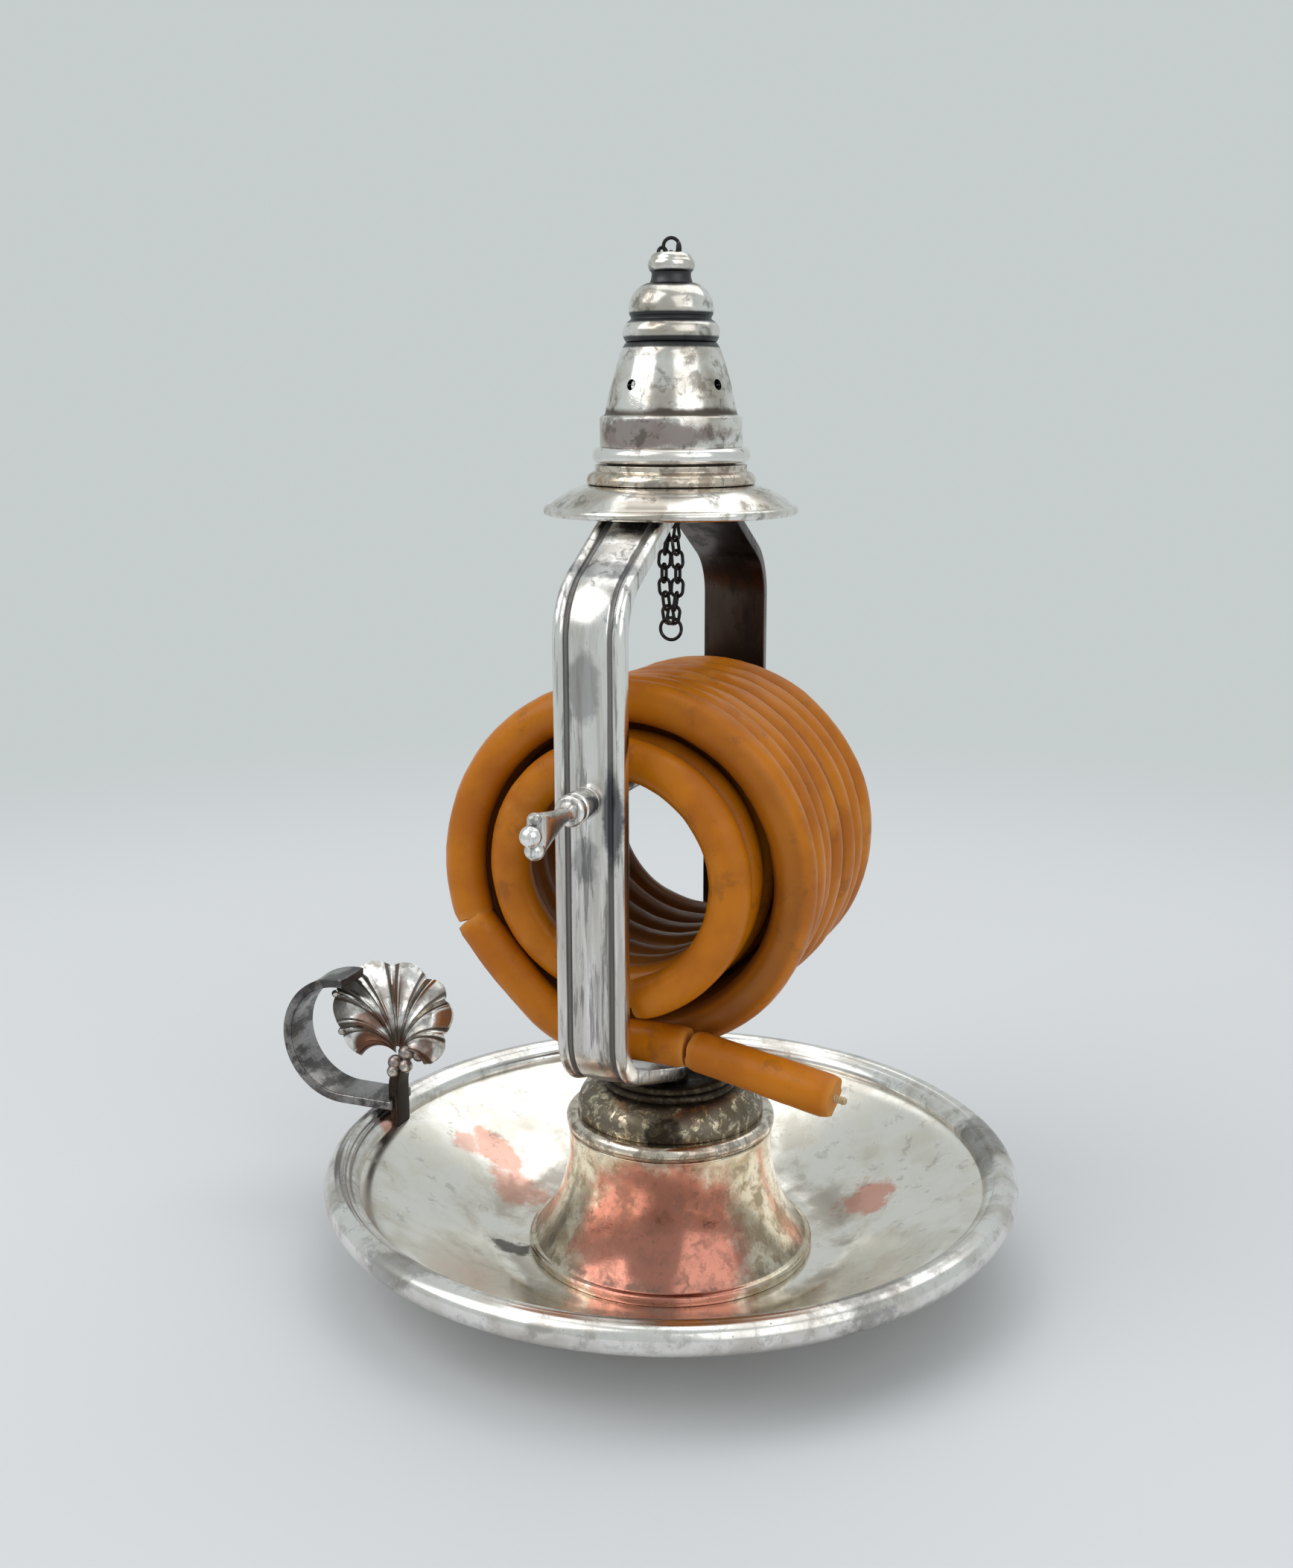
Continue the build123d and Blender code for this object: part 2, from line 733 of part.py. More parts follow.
with BuildPart(shell_plane) as thumb_piece:
    for wall, mode in ((0.0, Mode.ADD), (shell_wall, Mode.SUBTRACT)):
        for rib in range(shell_ribs):
            turn = shell_fan * (rib - (shell_ribs - 1) / 2)
            rib_l = shell_l * (1 - 0.16 * (turn / 66) ** 2)
            rib_flare = math.sin(math.radians(shell_fan / 2))
            end_r = rib_l * rib_flare / (1 + rib_flare) * rib_overlap
            way = Vector(math.sin(math.radians(turn)), math.cos(math.radians(turn)), 0)
            with Locations(Plane(origin=(0, 0, 0), z_dir=way)):
                Cone(
                    max(0.7 - wall, 0.0),
                    end_r - wall,
                    rib_l - end_r,
                    align=(Align.CENTER, Align.CENTER, Align.MIN),
                    mode=mode,
                )
            with Locations(way * (rib_l - end_r)):
                Sphere(end_r - wall, mode=mode)
        if mode == Mode.ADD:
            split(bisect_by=shell_plane.offset(0.4), keep=Keep.BOTTOM)
    for side in (-1, 1):
        with Locations((side * hinge_bead_d * 0.6, -hinge_bead_d / 4, -hinge_bead_d / 6)):
            Sphere(hinge_bead_d / 2)
save(thumb_piece, "thumb_piece")

# Chain: a ring on the finial, a run down through the cap and nozzle, and a doubled end below the
# pan. The doubled end hangs by itself, so the run can rise with the cap.
link_pitch = link_l - 2 * wire_d - link_slack
hook = wire_d + link_slack
link_reach = link_l / 2 - wire_d / 2
stop_r = cap_bore_r - link_slack / 2
stop_z = cap_top_z + stop_rise
join_z = head_bar_z - strap_t / 2 + join_rise - join_r
upper_low_z = join_z + join_r + wire_d + seat_gap + link_reach
upper_high_z = stop_z - stop_r + hook - link_reach
upper_gaps = math.ceil((upper_high_z - upper_low_z) / (link_pitch + link_slack) / 2) * 2

with BuildPart() as chain_link:
    with BuildLine(Plane.XZ) as link_path:
        bend_r = (link_w - wire_d) / 2
        side_z = link_reach - bend_r
        Line((bend_r, -side_z), (bend_r, side_z))
        ThreePointArc((bend_r, side_z), (0, link_reach), (-bend_r, side_z))
        Line((-bend_r, side_z), (-bend_r, -side_z))
        ThreePointArc((-bend_r, -side_z), (0, -link_reach), (bend_r, -side_z))
    with BuildSketch(Plane(origin=(bend_r, 0, -side_z), z_dir=(0, 0, 1))):
        Circle(wire_d / 2)
    sweep(path=link_path.wires()[0])

with BuildPart() as chain_stop_ring:
    with Locations((0, 0, stop_z)):
        Torus(stop_r, wire_d / 2, rotation=(90, 0, 0))
save(chain_stop_ring, "chain_stop_ring")

with BuildPart() as chain_upper:
    for index in range(upper_gaps + 1):
        z = upper_low_z + (upper_high_z - upper_low_z) * index / upper_gaps
        with Locations(Location((0, 0, z), (0, 0, 90 - 90 * (index % 2)))):
            add(chain_link.part)
save(chain_upper, "chain_upper")

drop_z = 0
with BuildPart() as chain_lower:
    with Locations((0, 0, join_z)):
        Torus(join_r, wire_d / 2, rotation=(90, 0, 0))
    for side in (-1, 1):
        tilt = side * strand_spread
        reach = join_r - hook + link_reach
        place = Vector(0, 0, join_z) + Vector(
            reach * math.sin(math.radians(tilt)), 0, -reach * math.cos(math.radians(tilt))
        )
        for index in range(strand_links):
            with Locations(Location(place, (0, -tilt, 90 - 90 * (index % 2)))):
                add(chain_link.part)
            next_tilt = side * strand_spread * math.cos(math.pi * (index + 1) / (strand_links - 1))
            if index < strand_links - 1:
                middle = math.radians((tilt + next_tilt) / 2)
                place = place + Vector(math.sin(middle), 0, -math.cos(middle)) * link_pitch
                tilt = next_tilt
        drop_z = place.Z - reach * math.cos(math.radians(tilt))
save(chain_lower, "chain_lower")

with BuildPart() as chain_drop_ring:
    with Locations((0, 0, drop_z)):
        Torus(join_r, wire_d / 2, rotation=(90, 0, 0))
save(chain_drop_ring, "chain_drop_ring")
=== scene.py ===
import logging
import math
from dataclasses import dataclass, replace
from enum import Enum
from typing import Callable, Sequence

import bpy
import numpy as np
from mathutils import Matrix, Vector


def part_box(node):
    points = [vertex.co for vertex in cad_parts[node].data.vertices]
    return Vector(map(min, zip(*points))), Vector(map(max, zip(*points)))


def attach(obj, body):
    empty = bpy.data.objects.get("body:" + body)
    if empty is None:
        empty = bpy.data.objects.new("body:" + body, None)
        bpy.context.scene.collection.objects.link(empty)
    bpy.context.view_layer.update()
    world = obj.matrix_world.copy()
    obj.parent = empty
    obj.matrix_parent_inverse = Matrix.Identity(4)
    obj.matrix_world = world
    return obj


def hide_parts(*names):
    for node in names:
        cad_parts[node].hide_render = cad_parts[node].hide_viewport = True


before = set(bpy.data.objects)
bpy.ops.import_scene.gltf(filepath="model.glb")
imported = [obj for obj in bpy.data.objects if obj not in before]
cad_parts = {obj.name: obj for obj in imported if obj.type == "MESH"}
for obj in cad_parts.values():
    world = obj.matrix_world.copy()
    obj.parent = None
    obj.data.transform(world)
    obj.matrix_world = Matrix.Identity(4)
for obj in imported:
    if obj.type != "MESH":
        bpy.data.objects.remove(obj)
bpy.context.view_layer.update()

MM = 0.001
PHOTO_W, PHOTO_H = 1736, 2106
LOG = logging.getLogger("wax_jack")
Point = tuple[float, float]
Rgb = tuple[float, float, float]


class Body(Enum):
    """The bodies of the wax jack that pieces ride on."""

    STAND = "stand"
    SPINDLE = "spindle"
    TAPER = "taper"
    CAP = "cap"
    CHAIN = "chain"


class Slot(Enum):
    """The record's material slots."""

    BRIGHT = "plate_bright"
    WORN = "plate_worn"
    COPPER = "plate_copper"
    TARNISHED = "plate_tarnished"
    WAX = "wax"
    WICK = "wick"
    CHAIN = "chain_metal"


# Outlines and meshes


def node_low(node: str) -> float:
    """Lowest height of a CAD node, in mm."""
    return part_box(node)[0].z / MM


def node_high(node: str) -> float:
    """Highest height of a CAD node, in mm."""
    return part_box(node)[1].z / MM


def arc(start: Point, end: Point, rise: float, count: int = 10) -> list[Point]:
    """Points of an arc that stands `rise` off the chord, to the left of its direction.

    Args:
        start: first point, included.
        end: last point, left out.
        rise: height of the arc over its chord; negative bends it to the right.
        count: number of points.

    Returns:
        The arc's points.
    """
    a, b = Vector(start), Vector(end)
    chord = b - a
    if abs(rise) < 1e-6:
        return [tuple(a.lerp(b, i / count)) for i in range(count)]
    side = Vector((-chord.y, chord.x)).normalized()
    radius = (chord.length**2 / 4 + rise**2) / (2 * rise)
    centre = (a + b) / 2 + side * (rise - radius)
    first = a - centre
    sweep = 2 * math.atan2(chord.length / 2, abs(radius) - abs(rise))
    turns = [-math.copysign(sweep, rise) * i / count for i in range(count)]
    return [tuple(centre + Matrix.Rotation(t, 2) @ first) for t in turns]


def soften(outline: Sequence[Point], radius: float, steps: int = 3) -> list[Point]:
    """Rounds the sharp corners of an outline.

    Args:
        outline: points in order; an outline that starts and ends on the axis stays open there.
        radius: how far along each side a corner is cut back.
        steps: number of divisions of a rounded corner.

    Returns:
        The outline with its corners rounded.
    """
    points = [Vector(p) for p in outline]
    is_open = abs(points[0].x) < 1e-6 and abs(points[-1].x) < 1e-6
    result: list[Point] = []
    for index, here in enumerate(points):
        before, after = points[index - 1], points[(index + 1) % len(points)]
        if is_open and index in (0, len(points) - 1):
            result.append(tuple(here))
            continue
        back, ahead = before - here, after - here
        if back.length < 1e-6 or ahead.length < 1e-6:
            continue
        turn = math.pi - back.angle(ahead)
        if turn < math.radians(24):
            result.append(tuple(here))
            continue
        start = here + back * min(radius / back.length, 0.45)
        end = here + ahead * min(radius / ahead.length, 0.45)
        for step in range(steps + 1):
            t = step / steps
            result.append(tuple(start * (1 - t) ** 2 + here * 2 * t * (1 - t) + end * t**2))
    return result


def hollows(outline: Sequence[Point], reach: float = 0.9) -> list[float]:
    """How deep in a crevice each point of an outline lies.

    Args:
        outline: closed outline, in mm.
        reach: how far dirt spreads from a concave corner, in mm.

    Returns:
        A value for each point, from -1 on a ridge to 1 in a groove.
    """
    points = np.array(outline, float)
    ahead = np.roll(points, -1, axis=0) - points
    back = points - np.roll(points, 1, axis=0)
    area = 0.5 * np.sum(points[:, 0] * np.roll(points[:, 1], -1) - np.roll(points[:, 0], -1) * points[:, 1])
    cross = back[:, 0] * ahead[:, 1] - back[:, 1] * ahead[:, 0]
    turn = np.arctan2(cross, np.sum(back * ahead, axis=1)) * np.sign(area)
    gaps = np.linalg.norm(points[:, None] - points[None], axis=2)
    weight = np.exp(-((gaps / reach) ** 2))
    return list(np.clip(-(weight @ turn) * 1.3, -1, 1))


def mesh_object(
    name: str,
    points: Sequence[Sequence[float]],
    faces: Sequence[Sequence[int]],
    hollow: Sequence[float] | None = None,
    sharp: float = 50.0,
) -> bpy.types.Object:
    """Makes a smooth-shaded mesh object from points in mm.

    Args:
        name: name of the piece.
        points: vertices, in mm.
        faces: faces as lists of vertex numbers.
        hollow: crevice depth of each vertex, kept as the attribute "hollow".
        sharp: angle in degrees past which an edge is drawn sharp.

    Returns:
        The new object, linked to the scene.
    """
    mesh = bpy.data.meshes.new(name)
    mesh.from_pydata([Vector(p) * MM for p in points], [], [list(f) for f in faces])
    mesh.validate()
    if hollow is not None:
        layer = mesh.attributes.new("hollow", "FLOAT", "POINT")
        layer.data.foreach_set("value", np.array(hollow, np.float32))
    mesh.shade_smooth()
    mesh.set_sharp_from_angle(angle=math.radians(sharp))
    piece = bpy.data.objects.new(name, mesh)
    bpy.context.scene.collection.objects.link(piece)
    return piece


def lathe(name: str, outline: Sequence[Point], segments: int = 144, round_by: float = 0.18) -> bpy.types.Object:
    """Turns an outline of (radius, height) about the axis.

    Args:
        name: name of the piece.
        outline: closed outline in mm, or one that starts and ends on the axis.
        segments: divisions round the axis.
        round_by: size of the rounding of its corners.

    Returns:
        The turned piece.
    """
    outline = soften(outline, round_by)
    area = sum(a[0] * b[1] - b[0] * a[1] for a, b in zip(outline, outline[1:] + outline[:1]))
    if area > 0:
        outline = outline[::-1]
    depth = hollows(outline)
    points, faces, hollow, rings = [], [], [], []
    for (radius, height), value in zip(outline, depth):
        if radius < 1e-6:
            rings.append([len(points)] * segments)
            points.append((0, 0, height))
            hollow.append(value)
            continue
        rings.append(list(range(len(points), len(points) + segments)))
        for step in range(segments):
            angle = 2 * math.pi * step / segments
            points.append((radius * math.cos(angle), radius * math.sin(angle), height))
            hollow.append(value)
    for ring, above in zip(rings, rings[1:] + rings[:1]):
        for step in range(segments):
            nxt = (step + 1) % segments
            face = list(dict.fromkeys((ring[step], above[step], above[nxt], ring[nxt])))
            if len(face) > 2:
                faces.append(face)
    return mesh_object(name, points, faces, hollow)


def sweep(
    name: str,
    path: Sequence[Vector],
    section: Sequence[Point],
    across: Vector,
    scale_at: Callable[[float], Point] | None = None,
    round_by: float = 0.15,
) -> bpy.types.Object:
    """Carries a section along a flat path and closes both ends.

    Args:
        name: name of the piece.
        path: points of the path, in mm.
        section: outline as (along `across`, along the path's normal), in mm.
        across: unit vector at right angles to the path's plane.
        scale_at: section's scale at a share of the path's length.
        round_by: size of the rounding of the section's corners.

    Returns:
        The swept piece.
    """
    section = soften(section, round_by)
    depth = hollows(section, 0.6)
    points, faces, hollow = [], [], []
    count = len(section)
    for index, here in enumerate(path):
        ahead = path[min(index + 1, len(path) - 1)] - path[max(index - 1, 0)]
        normal = ahead.normalized().cross(across).normalized()
        wide, thick = scale_at(index / (len(path) - 1)) if scale_at else (1.0, 1.0)
        for (u, v), value in zip(section, depth):
            points.append(here + across * u * wide + normal * v * thick)
            hollow.append(value)
        if index:
            base = (index - 1) * count
            for step in range(count):
                nxt = (step + 1) % count
                faces.append((base + step, base + nxt, base + count + nxt, base + count + step))
    faces.append(list(range(count))[::-1])
    faces.append([len(points) - count + i for i in range(count)])
    piece = mesh_object(name, points, faces, hollow, sharp=40)
    turn_outwards(piece)
    return piece


def turn_outwards(piece: bpy.types.Object) -> None:
    """Turns a closed mesh the right way out if its signed volume is negative."""
    mesh = piece.data
    mesh.calc_loop_triangles()
    corners = np.array([v.co for v in mesh.vertices], float)
    triangles = np.array([t.vertices for t in mesh.loop_triangles])
    a, b, c = (corners[triangles[:, k]] for k in range(3))
    if np.sum(a * np.cross(b, c)) < 0:
        mesh.flip_normals()


def curve_path(turns: Sequence[tuple[str, float, float]], start: Point, heading: float) -> list[Point]:
    """Points of a path of straight runs and arcs in a plane.

    Args:
        turns: ("run", length, 0) or ("bend", radius, degrees to the left).
        start: first point.
        heading: first direction, in degrees.

    Returns:
        The path's points.
    """
    here, angle = Vector(start), math.radians(heading)
    path = [tuple(here)]
    for kind, size, turn in turns:
        if kind == "run":
            here = here + Vector((math.cos(angle), math.sin(angle))) * size
            path.append(tuple(here))
            continue
        total = math.radians(turn)
        steps = max(3, round(abs(turn) / 4))
        side = math.copysign(1, total)
        centre = here + Vector((-math.sin(angle), math.cos(angle))) * size * side
        spoke = here - centre
        for step in range(1, steps + 1):
            here = centre + Matrix.Rotation(total * step / steps, 2) @ spoke
            path.append(tuple(here))
        angle += total
    return path


def join(name: str, pieces: Sequence[bpy.types.Object]) -> bpy.types.Object:
    """Joins several mesh objects into one.

    Args:
        name: name of the joined piece.
        pieces: objects whose meshes are already in place.

    Returns:
        The joined object; the others are removed.
    """
    with bpy.context.temp_override(active_object=pieces[0], selected_editable_objects=list(pieces)):
        bpy.ops.object.join()
    pieces[0].name = name
    pieces[0].data.name = name
    return pieces[0]


def place(piece: bpy.types.Object, body: Body, slot: Slot, finish: bpy.types.Material, *nodes: str) -> None:
    """Dresses a piece, puts it on its body and hides the CAD nodes that it stands for."""
    piece.data.materials.clear()
    piece.data.materials.append(finish)
    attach(piece, body.value)
    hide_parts(*nodes)
    LOG.info("%s rides on %s for %s", piece.name, body.value, ", ".join(nodes))


# Shader groups


class Shader:
    """A small writer of shader node trees."""

    def __init__(self, tree: bpy.types.NodeTree) -> None:
        """Keeps the tree that nodes are added to."""
        self.tree = tree

    def add(self, kind: str, links: dict | None = None, **settings: object) -> bpy.types.Node:
        """Adds a node.

        Args:
            kind: node type without its ShaderNode prefix.
            links: input name or number, to a socket to link or a value to set.
            settings: properties of the node.

        Returns:
            The new node.
        """
        node = self.tree.nodes.new("ShaderNode" + kind)
        for key, value in settings.items():
            setattr(node, key, value)
        for key, value in (links or {}).items():
            if isinstance(value, bpy.types.NodeSocket):
                self.tree.links.new(value, node.inputs[key])
            else:
                node.inputs[key].default_value = value
        return node

    def math(self, operation: str, a: object, b: object = 0.0, clamp: bool = False) -> bpy.types.NodeSocket:
        """Returns the result of a Math node."""
        return self.add("Math", {0: a, 1: b}, operation=operation, use_clamp=clamp).outputs[0]

    def ramp(self, value: object, low: float, high: float) -> bpy.types.NodeSocket:
        """Returns value moved smoothly from 0 at low to 1 at high."""
        links = {"Value": value, "From Min": low, "From Max": high}
        return self.add("MapRange", links, interpolation_type="SMOOTHSTEP").outputs[0]

    def blend(self, share: object, first: object, second: object) -> bpy.types.NodeSocket:
        """Returns the first colour blended to the second by share."""
        node = self.add("Mix", data_type="RGBA")
        for key, value in ((0, share), (6, first), (7, second)):
            if isinstance(value, bpy.types.NodeSocket):
                self.tree.links.new(value, node.inputs[key])
            else:
                node.inputs[key].default_value = (*value, 1.0) if isinstance(value, tuple) else value
        return node.outputs[2]

    def noise(self, vector: object, scale: object, detail: float = 5.0, roughness: float = 0.6) -> bpy.types.NodeSocket:
        """Returns fractal noise."""
        links = {"Vector": vector, "Scale": scale, "Detail": detail, "Roughness": roughness}
        return self.add("TexNoise", links).outputs["Fac"]


def shader_group(name: str, inputs: dict[str, object], outputs: Sequence[str]) -> tuple[bpy.types.NodeTree, Shader, bpy.types.Node, bpy.types.Node]:
    """Starts a shader node group with named sockets.

    Args:
        name: name of the group.
        inputs: socket name to default value; a three-number default makes a vector.
        outputs: names of the value outputs.

    Returns:
        The tree, its writer, and its input and output nodes.
    """
    tree = bpy.data.node_groups.new(name, "ShaderNodeTree")
    for socket, default in inputs.items():
        kind = "NodeSocketVector" if isinstance(default, tuple) else "NodeSocketFloat"
        made = tree.interface.new_socket(name=socket, in_out="INPUT", socket_type=kind)
        made.default_value = default
    for socket in outputs:
        tree.interface.new_socket(name=socket, in_out="OUTPUT", socket_type="NodeSocketFloat")
    source = tree.nodes.new("NodeGroupInput")
    sink = tree.nodes.new("NodeGroupOutput")
    return tree, Shader(tree), source, sink


def tarnish_group() -> bpy.types.NodeTree:
    """Builds the group that puts out blotches, specks and long stains of tarnish."""
    inputs = {"Vector": (0.0, 0.0, 0.0), "Size": 5.0, "Cover": 0.5, "Offset": (0.0, 0.0, 0.0)}
    tree, shade, source, sink = shader_group("Tarnish", inputs, ("Blotch", "Speck", "Cloud"))
    metres = shade.add("VectorMath", {0: source.outputs["Vector"], 1: source.outputs["Offset"]}).outputs[0]
    scale = shade.math("DIVIDE", 1000.0, source.outputs["Size"])
    warp = shade.add("TexNoise", {"Vector": metres, "Scale": scale, "Detail": 3.0}).outputs["Color"]
    shift = shade.add("VectorMath", {0: warp, 1: (0.003, 0.003, 0.003)}, operation="MULTIPLY").outputs[0]
    warped = shade.add("VectorMath", {0: metres, 1: shift}).outputs[0]
    broad = shade.noise(warped, scale, 7.0, 0.68)
    edge = shade.math("SUBTRACT", 0.72, shade.math("MULTIPLY", source.outputs["Cover"], 0.4))
    blotch = shade.add("MapRange", {"Value": broad, "From Min": edge}, interpolation_type="SMOOTHSTEP")
    tree.links.new(shade.math("ADD", edge, 0.11), blotch.inputs["From Max"])
    fine = shade.noise(metres, shade.math("MULTIPLY", scale, 7.0), 4.0, 0.7)
    speck_edge = shade.math("SUBTRACT", 0.76, shade.math("MULTIPLY", source.outputs["Cover"], 0.22))
    speck = shade.add("MapRange", {"Value": fine, "From Min": speck_edge}, interpolation_type="SMOOTHSTEP")
    tree.links.new(shade.math("ADD", speck_edge, 0.06), speck.inputs["From Max"])
    cloud = shade.noise(warped, shade.math("MULTIPLY", scale, 0.45), 4.0, 0.55)
    tree.links.new(blotch.outputs[0], sink.inputs["Blotch"])
    tree.links.new(speck.outputs[0], sink.inputs["Speck"])
    tree.links.new(shade.ramp(cloud, 0.38, 0.66), sink.inputs["Cloud"])
    return tree


def patch_group() -> bpy.types.NodeTree:
    """Builds the group for one ragged patch round a point of the object."""
    inputs = {"Vector": (0.0, 0.0, 0.0), "Centre": (0.0, 0.0, 0.0), "Reach": (0.01, 0.01, 0.01), "Rag": 0.5}
    tree, shade, source, sink = shader_group("Patch", inputs, ("Mask",))
    away = shade.add("VectorMath", {0: source.outputs["Vector"], 1: source.outputs["Centre"]}, operation="SUBTRACT")
    scaled = shade.add("VectorMath", {0: away.outputs[0], 1: source.outputs["Reach"]}, operation="DIVIDE")
    far = shade.add("VectorMath", {0: scaled.outputs[0]}, operation="LENGTH").outputs["Value"]
    coarse = shade.noise(source.outputs["Vector"], 240.0, 8.0, 0.7)
    ragged = shade.math("MULTIPLY", shade.math("SUBTRACT", coarse, 0.5), source.outputs["Rag"])
    edge = shade.math("ADD", far, shade.math("MULTIPLY", ragged, 4.0))
    mask = shade.add("MapRange", {"Value": edge, "From Min": 1.12, "From Max": 0.72}, interpolation_type="SMOOTHSTEP")
    tree.links.new(mask.outputs[0], sink.inputs["Mask"])
    return tree


def hairline_group() -> bpy.types.NodeTree:
    """Builds the group for fine polishing marks that cross in two directions."""
    inputs = {"Vector": (0.0, 0.0, 0.0), "Density": 1.0}
    tree, shade, source, sink = shader_group("Hairlines", inputs, ("Height",))
    lines = []
    for turn, stretch in (((0.4, 0.2, 0.5), (1.0, 30.0, 30.0)), ((1.1, -0.5, 2.0), (26.0, 1.0, 26.0))):
        turned = shade.add("Mapping", {"Vector": source.outputs["Vector"], "Rotation": turn, "Scale": stretch})
        scale = shade.math("MULTIPLY", source.outputs["Density"], 130.0)
        lines.append(shade.ramp(shade.noise(turned.outputs[0], scale, 2.0, 0.5), 0.56, 0.7))
    tree.links.new(shade.math("MAXIMUM", lines[0], lines[1]), sink.inputs["Height"])
    return tree


class Groups:
    """The shared shader node groups, each built once."""

    def __init__(self) -> None:
        """Builds the groups."""
        self.tarnish = tarnish_group()
        self.patch = patch_group()
        self.hairlines = hairline_group()

    def use(self, shade: Shader, tree: bpy.types.NodeTree, **values: object) -> bpy.types.Node:
        """Places a group in a material and returns its node."""
        node = shade.add("Group")
        node.node_tree = tree
        for key, value in values.items():
            if isinstance(value, bpy.types.NodeSocket):
                shade.tree.links.new(value, node.inputs[key])
            else:
                node.inputs[key].default_value = value
        return node


# Finishes


@dataclass(frozen=True)
class Patch:
    """A ragged patch of another colour on plate: where it is and how far it reaches, in mm."""

    centre: tuple[float, float, float]
    reach: tuple[float, float, float]
    rag: float = 0.5
    strength: float = 0.85


@dataclass(frozen=True)
class Plate:
    """Old silver plate on copper: its colours, its tarnish and where the copper shows."""

    name: str
    silver: Rgb = (0.80, 0.78, 0.745)
    warm: Rgb = (0.62, 0.56, 0.45)
    tarnish: Rgb = (0.085, 0.068, 0.052)
    copper: Rgb = (0.72, 0.36, 0.27)
    warmth: float = 0.35
    cover: float = 0.35
    blotch_mm: float = 5.0
    blotch_depth: float = 0.6
    speck_depth: float = 0.55
    crevice: float = 0.85
    crevice_from: float = 0.12
    crevice_to: float = 0.75
    grain: tuple[float, float, float] = (1.0, 1.0, 1.0)
    stain: Rgb = (0.03, 0.026, 0.024)
    roughness: float = 0.17
    dulling: float = 0.24
    bleed: tuple[Patch, ...] = ()
    stains: tuple[Patch, ...] = ()

    def material(self, groups: Groups) -> bpy.types.Material:
        """Builds the material.

        Args:
            groups: the shared shader groups.

        Returns:
            The new material.
        """
        material, shade, principled = blank_material(self.name)
        place_at = shade.add("TexCoord").outputs["Object"]
        offset = tuple((hash_of(self.name) >> shift) % 97 / 97 for shift in (0, 7, 14))
        grained = shade.add("Mapping", {"Vector": place_at, "Scale": self.grain}).outputs[0]
        tarnish = groups.use(
            shade, groups.tarnish, Vector=grained, Size=self.blotch_mm, Cover=self.cover, Offset=offset
        )
        hollow = shade.add("Attribute", attribute_name="hollow").outputs["Fac"]
        colour = shade.blend(shade.math("MULTIPLY", tarnish.outputs["Cloud"], self.warmth), self.silver, self.warm)
        bleed = None
        for patch in self.bleed:
            mask = shade.math("MULTIPLY", self.patch_mask(shade, groups, place_at, patch), patch.strength)
            bleed = mask if bleed is None else shade.math("MAXIMUM", bleed, mask)
        if bleed is not None:
            colour = shade.blend(bleed, colour, self.copper)
        dark = shade.math("MULTIPLY", tarnish.outputs["Blotch"], self.blotch_depth)
        dark = shade.math("MAXIMUM", dark, shade.math("MULTIPLY", tarnish.outputs["Speck"], self.speck_depth))
        ragged = shade.math("ADD", hollow, shade.math("MULTIPLY", tarnish.outputs["Cloud"], 0.3))
        grime = shade.ramp(ragged, self.crevice_from, self.crevice_to)
        grime = shade.math("MULTIPLY", grime, self.crevice)
        dark = shade.math("MAXIMUM", dark, grime, clamp=True)
        colour = shade.blend(dark, colour, self.tarnish)
        # Stain patches; on the shell these are painted shade in its two left-hand flutes.
        for patch in self.stains:
            mask = shade.math("MULTIPLY", self.patch_mask(shade, groups, place_at, patch), patch.strength)
            colour = shade.blend(mask, colour, self.stain)
            dark = shade.math("MAXIMUM", dark, mask)
        shade.tree.links.new(colour, principled.inputs["Base Color"])
        haze = shade.math("MULTIPLY", tarnish.outputs["Cloud"], 0.1)
        rough = shade.math("ADD", haze, shade.math("MULTIPLY", dark, self.dulling))
        shade.tree.links.new(shade.math("ADD", rough, self.roughness), principled.inputs["Roughness"])
        metal = shade.math("SUBTRACT", 1.0, shade.math("MULTIPLY", grime, 0.5))
        shade.tree.links.new(metal, principled.inputs["Metallic"])
        marks = groups.use(shade, groups.hairlines, Vector=place_at, Density=1.0).outputs["Height"]
        pits = shade.math("MULTIPLY", tarnish.outputs["Speck"], -0.6)
        dents = shade.noise(place_at, 190.0, 2.0, 0.4)
        height = shade.math("ADD", shade.math("ADD", pits, shade.math("MULTIPLY", marks, -0.12)), dents)
        bump = shade.add("Bump", {"Strength": 0.14, "Distance": 0.00012, "Height": height})
        shade.tree.links.new(bump.outputs[0], principled.inputs["Normal"])
        return material

    def patch_mask(
        self, shade: Shader, groups: Groups, place_at: bpy.types.NodeSocket, patch: Patch
    ) -> bpy.types.NodeSocket:
        """Returns the mask of one patch."""
        centre = tuple(v * MM for v in patch.centre)
        reach = tuple(v * MM for v in patch.reach)
        return groups.use(shade, groups.patch, Vector=place_at, Centre=centre, Reach=reach, Rag=patch.rag).outputs[0]


